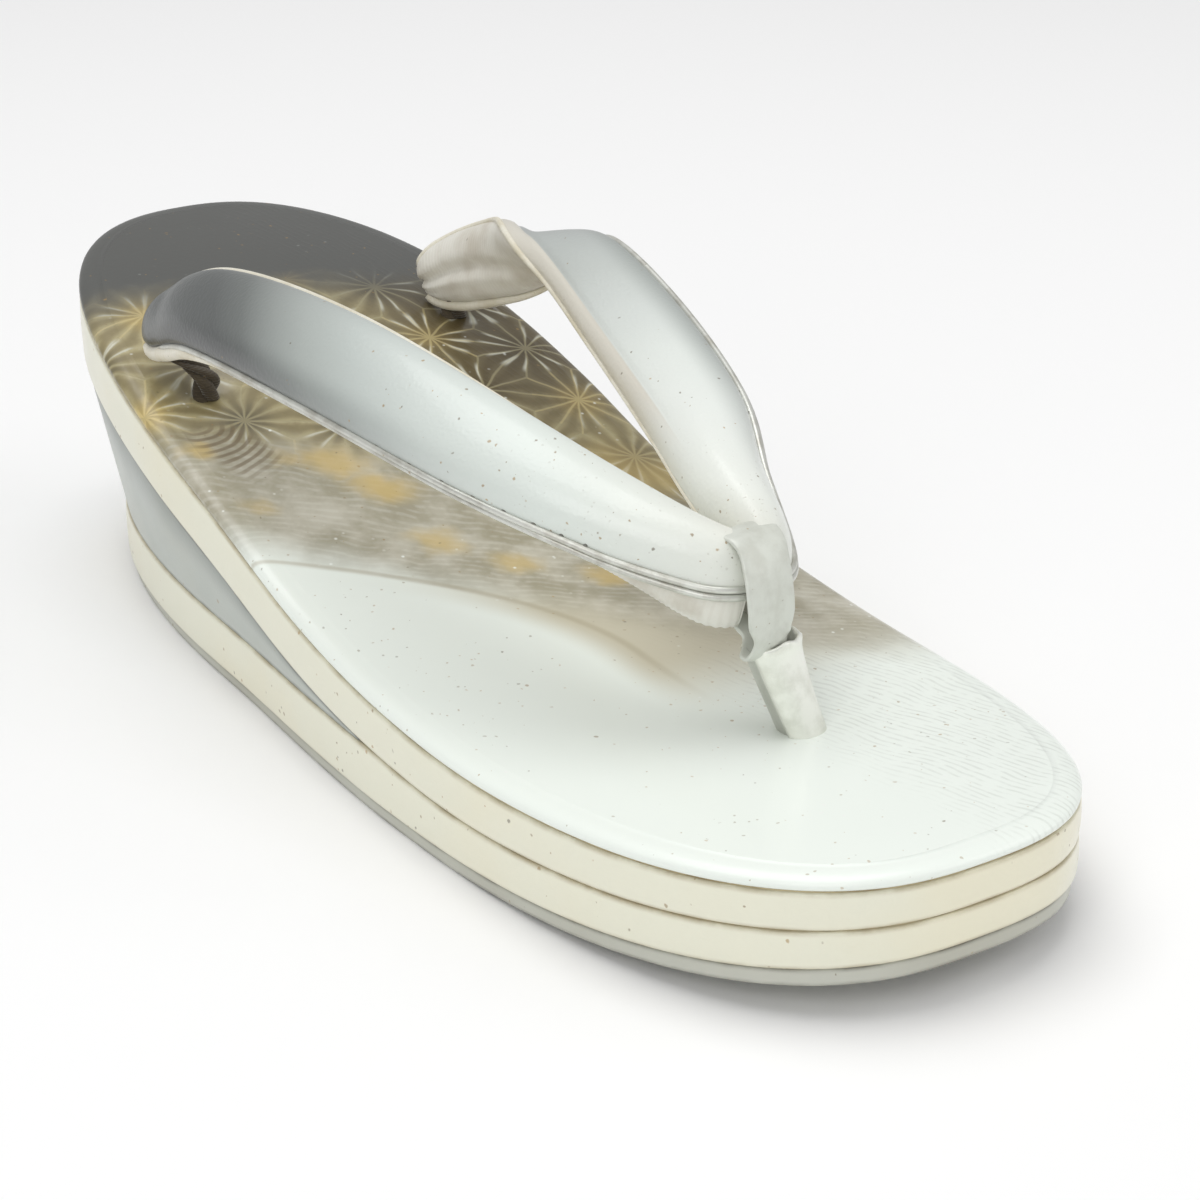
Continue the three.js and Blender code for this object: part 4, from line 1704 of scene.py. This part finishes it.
    def stitches(self, thread: Material) -> None:
        """The row of short stitches that holds the piping.

        Args:
            thread: The stitches' finish.
        """
        length = StrapForm.read(self.rows, self.side, 50).along[-1]
        per_stitch = self.stitch_steps
        steps = int(length / self.stitch_pitch) * per_stitch
        form = StrapForm.read(self.rows, self.side, steps)
        nose = self.end_round(form)
        angle = self.stitch_angle
        across = math.cos(angle) * form.width / 2 * nose
        depth = math.sin(angle) ** COVER_FULLNESS * form.cover * nose
        path = form.point(across, depth)
        skins: list[Array] = []
        turn = full_turn(6)
        first = int(self.stitch_start / self.stitch_pitch) * per_stitch
        last = int(self.stitch_end / self.stitch_pitch) * per_stitch
        for start in range(first, last, per_stitch):
            span = slice(start, start + 4)
            lift = np.array([-0.2, 0.02, 0.02, -0.2])
            line = path[span] + lift[:, None] * form.facing[span]
            wide = 0.15 * np.cos(turn)[None, :, None] * form.across[span][:, None]
            high = 0.12 * np.sin(turn)[None, :, None] * form.facing[span][:, None]
            skins.append(line[:, None] + wide + high)
        dress(add_skins(f"{self.label}_strap_stitches", skins), thread, Slot.STRAP)


@dataclass
class LacingCord:
    """The twisted cord that ties a strap's back end into the bed; its dark colour and its thickness also
    stand in for the shadow under the strap's end, as painted shadow.
    """

    label: str
    route: tuple[tuple[float, float, float], ...]
    material: Material
    radius: float = 2.3
    twist_pitch: float = 13.0
    strands: int = 3
    sides: int = 10
    steps: int = 60
    strand_offset: float = 0.45
    strand_radius: float = 0.62

    def build(self) -> Piece:
        """Makes the cord.

        Returns:
            The piece.
        """
        t = np.linspace(0, 1, self.steps)
        path = np.stack([smooth_through([p[i] for p in self.route], t) for i in range(3)], 1)
        along = run_length(path)

        def circle(turn: Array, size: float) -> Array:
            """Points on a level circle."""
            return size * self.radius * np.stack([np.cos(turn), np.sin(turn), np.zeros_like(turn)], 1)

        skins: list[Array] = []
        for strand in range(self.strands):
            phase = 2 * np.pi * (along / self.twist_pitch + strand / self.strands)
            centre = path + circle(phase, self.strand_offset)
            skins.append(centre[:, None] + circle(full_turn(self.sides), self.strand_radius)[None])
        lay = np.tile(np.repeat(along, self.sides), self.strands)
        lay = np.column_stack([lay, np.zeros_like(lay), np.zeros_like(lay)])
        return dress(add_skins(f"{self.label}_lacing_cord", skins, lay), self.material, Slot.STRAP)


@dataclass
class ToeLoop:
    """The band of silvered leather folded over the straps' joint and tucked into the sleeve."""

    material: Material
    centre: tuple[float, float, float] = (-2.4, -66.5, 44.5)
    slant_degrees: float = 20.0
    yaw_degrees: float = 10.0
    wall: float = 1.1
    width: float = 9.6
    crown_shift: float = 0.9
    tail_shift: float = -0.45
    rear_gather: float = 0.6
    rear_shift: float = 2.4
    steps: int = 156
    sides: int = 28
    profile: tuple[tuple[float, float], ...] = (
        (0.6, 8.3), (-2.9, 7.9), (-5.2, 5.6), (-6.0, 2.0), (-5.9, -2.0), (-4.9, -5.8),
        (-3.6, -9.2), (-0.6, -11.2), (2.2, -9.2), (4.4, -5.4), (5.8, -1.0), (5.8, 3.0),
        (4.2, 6.6),
    )

    def build(self) -> Piece:
        """Makes the loop.

        Returns:
            The piece.
        """
        steps, sides = self.steps, self.sides
        points = len(self.profile)
        ring_table = np.array([*self.profile[-2:], *self.profile, *self.profile[:3]])
        t = (np.arange(steps) / steps * points + 2) / (len(ring_table) - 1)
        path = np.stack([smooth_through(ring_table[:, k], t) for k in range(2)], 1)
        ahead = unit(np.roll(path, -1, 0) - np.roll(path, 1, 0))
        normals = np.stack([-ahead[:, 1], ahead[:, 0]], 1) * -1
        section = full_turn(sides)
        flat = np.sign(np.cos(section)) * np.abs(np.cos(section)) ** 0.5
        thick = np.sign(np.sin(section)) * np.abs(np.sin(section)) ** 0.6 * self.wall / 2
        outside = np.sin(section) > 0
        slant, yaw = math.radians(self.slant_degrees), math.radians(self.yaw_degrees)
        rings: list[Array] = []
        lay: list[Array] = []
        for k in range(steps):
            height = path[k, 1]
            low = float(ease(-height, 5.5, 9.0))
            gather = self.rear_gather * float(ease(path[k, 0], 0.5, 3.0) * ease(-height, 0.0, 6.5))
            x = flat * self.width / 2 * (1 - 0.24 * low) * (1 - gather) + self.rear_shift * gather
            fold = 0.5 * math.exp(-(((k / steps * points - 0.95) / 0.28) ** 2))
            crumple = 0.22 * low * np.sin(1.9 * x + 2.2 * height) * np.cos(0.7 * x - 1.1 * height)
            shallow = 0.16 * math.sin(0.5 * height + 1.0) * np.cos(0.42 * x)
            crown = 0.14 * (1 - (x / self.width * 2) ** 2)
            uneven = crumple + shallow - fold * np.exp(-(((x + 0.8) / 3.4) ** 2))
            off = thick + crown + np.where(outside, uneven, 0)
            y = path[k, 0] + normals[k, 0] * (off - self.wall / 2)
            z = path[k, 1] + normals[k, 1] * (off - self.wall / 2)
            rising = float(ease(height, -3.0, 8.5))
            x_at = x + self.tail_shift + (self.crown_shift - self.tail_shift) * rising
            turned_y = y * math.cos(slant) + z * math.sin(slant)
            turned_z = -y * math.sin(slant) + z * math.cos(slant)
            yawed_x = x_at * math.cos(yaw) - turned_y * math.sin(yaw)
            yawed_y = x_at * math.sin(yaw) + turned_y * math.cos(yaw)
            rings.append(np.column_stack([yawed_x, yawed_y, turned_z]) + np.array(self.centre))
            lay.append(np.column_stack([np.full(sides, float(k)), x, off]))
        piece = add_mesh(
            "toe_loop_band", np.concatenate(rings), tube_faces(steps, sides, closed=True), np.concatenate(lay)
        )
        dress(piece, self.material, Slot.SILVER)
        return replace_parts(piece, "toe_loop")


@dataclass(frozen=True)
class SleeveRow:
    """One section of the toe post's sleeve."""

    x: float
    y: float
    z: float
    half_wide: float
    half_deep: float


@dataclass
class ToePost:
    """The silvered sleeve between the toes: an open tube with an overlapped fold."""

    material: Material
    rows: tuple[SleeveRow, ...] = (
        SleeveRow(0.3, -69.9, 35.7, 4.7, 3.6),
        SleeveRow(1.2, -70.3, 32.0, 4.4, 3.5),
        SleeveRow(3.0, -71.3, 26.0, 3.95, 3.5),
        SleeveRow(4.6, -72.2, 21.0, 3.7, 3.6),
        SleeveRow(5.3, -72.6, 18.5, 3.7, 3.6),
    )
    wall: float = 0.8
    fold_degrees: float = 205.0
    steps: int = 60
    sides: int = 72
    inside_steps: int = 18

    def build(self) -> Piece:
        """Makes the sleeve.

        Returns:
            The piece.
        """
        steps, sides = self.steps, self.sides
        turn = full_turn(sides)
        fold = math.radians(self.fold_degrees)
        from_fold = (turn - fold + math.pi) % (2 * np.pi) - math.pi
        lap = 0.6 * ease(from_fold, -0.05, 0.05) * (1 - ease(from_fold, 0.6, 2.0))
        square = (np.abs(np.cos(turn)) ** 2.5 + np.abs(np.sin(turn)) ** 2.5) ** (-1 / 2.5)
        shares = np.linspace(0, 1, steps)
        read = {
            name: smooth_through([getattr(row, name) for row in self.rows], shares)
            for name in ("x", "y", "z", "half_wide", "half_deep")
        }
        rim = 0.25 * np.sin(3 * turn + 0.8) + 0.15 * np.sin(7 * turn)
        top, foot = self.rows[0], self.rows[-1]
        rise = top.z - foot.z
        slope_x, slope_y = (top.x - foot.x) / rise, (top.y - foot.y) / rise

        def ring(k: int, inward: float, lift: float = 0.0) -> Array:
            """One ring of the tube's outside or inside."""
            flare = 0.25 * math.exp(-((k / 5) ** 2)) + 0.2 * math.exp(-(((k - 52) / 4) ** 2))
            size = lap + flare - inward
            across = (read["half_wide"][k] - 0.3 + size) * np.cos(turn) * square
            along = (read["half_deep"][k] - 0.3 + size) * np.sin(turn) * square
            level = 1 - float(ease(k, 40, 58))
            tilt = -(0.45 * slope_x * across + slope_y * along) * level
            z = read["z"][k] + lift + tilt + rim * math.exp(-((k / 7) ** 2))
            return np.column_stack([read["x"][k] + across, read["y"][k] + along, z])

        outside = [ring(k, 0.0) for k in range(steps - 1, -1, -1)]
        lip = [ring(0, self.wall * 0.5, 0.3)]
        inside = [ring(k, self.wall) for k in range(self.inside_steps)]
        rings = outside + lip + inside
        lay = [np.column_stack([np.full(sides, float(k)), turn, np.zeros(sides)]) for k in range(len(rings))]
        piece = add_skins("toe_post_sleeve", [np.stack(rings)], np.concatenate(lay))
        dress(piece, self.material, Slot.SILVER)
        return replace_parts(piece, "toe_post")


# ---------------------------------------------------------------- the studio


@dataclass
class Studio:
    """The pale floor, the soft light and the camera."""

    eye: tuple[float, float, float] = (-246.3, -388.0, 217.1)
    azimuth: float = -34.18
    elevation: float = 23.51
    roll: float = -0.24
    lens: float = 89.5
    floor_half: float = 3.0
    world_light: float = 0.46
    aim: tuple[float, float, float] = (0.0, 0.0, 0.03)

    def floor(self) -> None:
        """A large pale floor."""
        half = self.floor_half
        corners = [(-half, -half, 0), (half, -half, 0), (half, half, 0), (-half, half, 0)]
        mesh = bpy.data.meshes.new("floor")
        mesh.from_pydata(corners, [], [(0, 1, 2, 3)])
        piece = bpy.data.objects.new("floor", mesh)
        bpy.context.scene.collection.objects.link(piece)
        finish = Finish("floor_paper", 0.9)
        finish.colour((0.93, 0.93, 0.93, 1))
        mesh.materials.append(finish.material)

    def lamp(self, name: str, place: tuple[float, float, float], size: float, watts: float) -> None:
        """A square soft light aimed at the sandal."""
        data = bpy.data.lights.new(name, "AREA")
        data.shape = "SQUARE"
        data.size = size
        data.energy = watts
        lamp = bpy.data.objects.new(name, data)
        lamp.location = place
        lamp.rotation_mode = "QUATERNION"
        lamp.rotation_quaternion = (Vector(self.aim) - Vector(place)).to_track_quat("-Z", "Y")
        bpy.context.scene.collection.objects.link(lamp)

    def camera(self) -> None:
        """The camera, at the view that shows the sandal best."""
        data = bpy.data.cameras.new("camera")
        data.sensor_width = 36
        data.lens = self.lens
        data.clip_start = 0.01
        camera = bpy.data.objects.new("camera", data)
        azimuth, elevation = math.radians(self.azimuth), math.radians(self.elevation)
        level = math.cos(elevation)
        back = Vector((math.sin(azimuth) * level, -math.cos(azimuth) * level, math.sin(elevation)))
        right = Vector((math.cos(azimuth), math.sin(azimuth), 0))
        up = back.cross(right)
        roll = Matrix.Rotation(math.radians(self.roll), 4, "Z")
        basis = Matrix((right, up, back)).transposed().to_4x4() @ roll
        camera.matrix_world = Matrix.Translation(Vector(self.eye) * MM) @ basis
        bpy.context.scene.collection.objects.link(camera)
        bpy.context.scene.camera = camera

    def build(self) -> None:
        """Sets the stage."""
        self.floor()
        self.lamp("overhead", (-0.1, 0.2, 1.3), 1.1, 8.9)
        self.lamp("front_left", (-0.9, -0.8, 0.8), 0.8, 4.6)
        self.lamp("front_right", (0.9, -0.7, 0.7), 0.9, 3.1)
        world = bpy.data.worlds.new("studio")
        world.use_nodes = True
        world.node_tree.nodes["Background"].inputs[0].default_value = (1, 1, 1, 1)
        world.node_tree.nodes["Background"].inputs[1].default_value = self.world_light
        bpy.context.scene.world = world
        bpy.context.scene.view_settings.view_transform = "Standard"
        self.camera()


LEFT_ROWS = (
    StrapRow(-33.0, 66, 52.5, 6.0, 2.0, 1.5, 20),
    StrapRow(-32.5, 58, 57.5, 10.5, 2.9, 2.1, 28),
    StrapRow(-32.0, 41, 63.0, 15.0, 4.1, 2.9, 38),
    StrapRow(-31.0, 4, 64.5, 17.0, 4.9, 3.6, 45),
    StrapRow(-25.0, -33, 59.5, 16.0, 5.5, 4.0, 54),
    StrapRow(-14.5, -52, 51.5, 14.0, 7.0, 6.0, 68),
    StrapRow(-6.5, -63, 45.8, 11.0, 7.8, 7.6, 85),
    StrapRow(-1.8, -66.3, 44.6, 8.8, 7.0, 7.0, 90),
)
RIGHT_ROWS = (
    StrapRow(25.0, 69, 51.5, 8.5, 2.0, 2.6, 10),
    StrapRow(28.5, 61, 55.0, 13.0, 2.9, 3.8, -8),
    StrapRow(30.0, 49, 59.5, 14.0, 3.2, 3.8, 5),
    StrapRow(29.5, 36, 64.0, 14.0, 3.5, 3.2, 60),
    StrapRow(27.5, 22, 66.5, 14.0, 3.8, 2.7, 108),
    StrapRow(22.5, -2.5, 62.0, 16.0, 4.3, 3.1, 115),
    StrapRow(15.0, -29.5, 56.5, 16.0, 5.2, 3.8, 110),
    StrapRow(8.8, -46, 51.5, 13.0, 6.7, 5.6, 100),
    StrapRow(3.2, -63, 45.8, 9.5, 7.8, 7.6, 90),
    StrapRow(-1.0, -66.3, 44.6, 7.6, 7.0, 7.0, 90),
)


def build_thong(effects: Effects) -> None:
    """Makes both straps, their cords, the loop and the sleeve.

    Args:
        effects: The shared shader groups.
    """
    left_shades = (
        (0.0, 104, 106, 104), (0.10, 90, 93, 92), (0.21, 92, 95, 94), (0.27, 110, 114, 112),
        (0.33, 146, 151, 148), (0.39, 170, 176, 172), (0.475, 190, 197, 193), (0.57, 208, 215, 210),
        (0.70, 221, 228, 222), (0.85, 230, 233, 225), (1.0, 226, 223, 209),
    )
    right_shades = (
        (0.0, 120, 122, 120), (0.12, 158, 161, 158), (0.22, 168, 172, 170), (0.30, 182, 187, 184),
        (0.36, 190, 195, 191), (0.44, 208, 213, 209), (0.53, 222, 227, 222), (0.64, 230, 234, 229),
        (0.78, 232, 235, 228), (0.87, 216, 216, 205), (1.0, 204, 204, 192),
    )
    # Each strap's outer colour and strength paint shade along its outer edge.
    cover_left = StrapFinish(
        "left_strap_enamel", 158.0, left_shades, srgb(58, 60, 60), 0.8, (22.0, 120.0)
    ).make(effects)
    cover_right = StrapFinish(
        "right_strap_enamel", 172.0, right_shades, srgb(150, 156, 152), 0.75, (90.0, 140.0), inner_seam=0.66
    ).make(effects)
    lining = ClothFinish(
        "strap_lining", srgb(228, 226, 217), srgb(203, 197, 184), 7.4, relief=0.02
    ).make(effects)
    edge = ClothFinish("edge_fold", srgb(232, 228, 213), srgb(214, 206, 182), 5.0, 0.5, 0.01).make(effects)
    thread = ClothFinish("stitch_thread", srgb(118, 117, 110), srgb(140, 138, 128), 20.0).make(effects)
    # The cord's dark brown also stands in for the shadow under the strap's back end: painted shadow.
    cord_and_shadow = ClothFinish("lacing_cord", srgb(52, 42, 28), srgb(76, 66, 48), 12.0).make(effects)
    piping = SilverFinish(
        "silver_piping", srgb(216, 217, 210), srgb(186, 184, 174), 0.55, GLOSSIEST
    ).make(effects)
    band = SilverFinish("silver_band", srgb(214, 217, 208), srgb(202, 204, 194), 0.12, 0.36).make(effects)
    # The sleeve's last two numbers paint shade on its left side face.
    sleeve = SilverFinish(
        "silver_sleeve", srgb(244, 245, 237), srgb(226, 227, 217), 0.45, GLOSSIEST, 3.05, 0.5
    ).make(effects)
    straps = (
        Strap(
            Side.LEFT,
            LEFT_ROWS,
            (Crease(10, 4.0, 0.2, 0.6), Crease(146, 1.3, 0.3, 0.25)),
            (Fold(0.0, 0.3, 0.4, 25),),
            0.65,
        ),
        Strap(
            Side.RIGHT,
            RIGHT_ROWS,
            (Crease(34, 5.0, 0.6, 0.6), Crease(156, 1.6, 0.5, 0.3), Crease(160.5, 1.2, 0.35, -0.1)),
            (Fold(-0.12, 0.2, 1.5, 34), Fold(-0.66, 0.12, 0.5, 24)),
            0.6,
            roll_radius=0.9,
            piping_start=34.0,
            nose_share=0.6,
            inner_seam=0.66,
        ),
    )
    for strap, cover in zip(straps, (cover_left, cover_right)):
        piece = strap.cover(cover)
        if strap.side is Side.LEFT:
            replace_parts(piece, "upper")
        strap.lining(lining)
        strap.cords(piping, edge)
        strap.stitches(thread)
    left_route = ((-32.6, 64, 53.0), (-30.6, 60.4, 50.0), (-27.6, 56.1, 46.8), (-27.5, 56, 42.4))
    right_route = ((28.6, 62.6, 52.0), (28.2, 63.4, 48.5), (28.0, 64, 44.9))
    LacingCord("left", left_route, cord_and_shadow).build()
    LacingCord("right", right_route, cord_and_shadow).build()
    ToeLoop(band).build()
    ToePost(sleeve).build()


def main() -> None:
    """Builds the stage and the sandal, in order."""
    logging.basicConfig(level=logging.INFO, format="%(name)s: %(message)s")
    Studio().build()
    effects = Effects()
    last = Last()
    # The third colour of each wrap is its dirt and painted shade at the seams.
    cream = WrapFinish(
        "cream_wrap", srgb(234, 233, 214), srgb(235, 228, 200), srgb(172, 158, 124), GLOSSIEST, 0.2
    ).make(effects)
    # The last number darkens the top of the grey wedge's wall: painted shade under the top layer.
    grey = WrapFinish(
        "grey_wrap", srgb(184, 190, 184), srgb(188, 191, 180), srgb(98, 102, 98), 0.4, 0.06, 0.45
    ).make(effects)
    leather = WrapFinish(
        "sole_leather", srgb(196, 197, 186), srgb(178, 176, 162), srgb(96, 92, 80), 0.5, 0.12
    ).make(effects)
    glue = ClothFinish("glue_line", srgb(196, 182, 146), srgb(150, 134, 100), 0.0, 0.7).make(effects)
    StackedSole(last, cream, grey, leather, glue).build()
    Bed(last, BedFinish().make(effects)).build()
    build_thong(effects)
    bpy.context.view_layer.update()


if __name__ == "__main__":
    main()
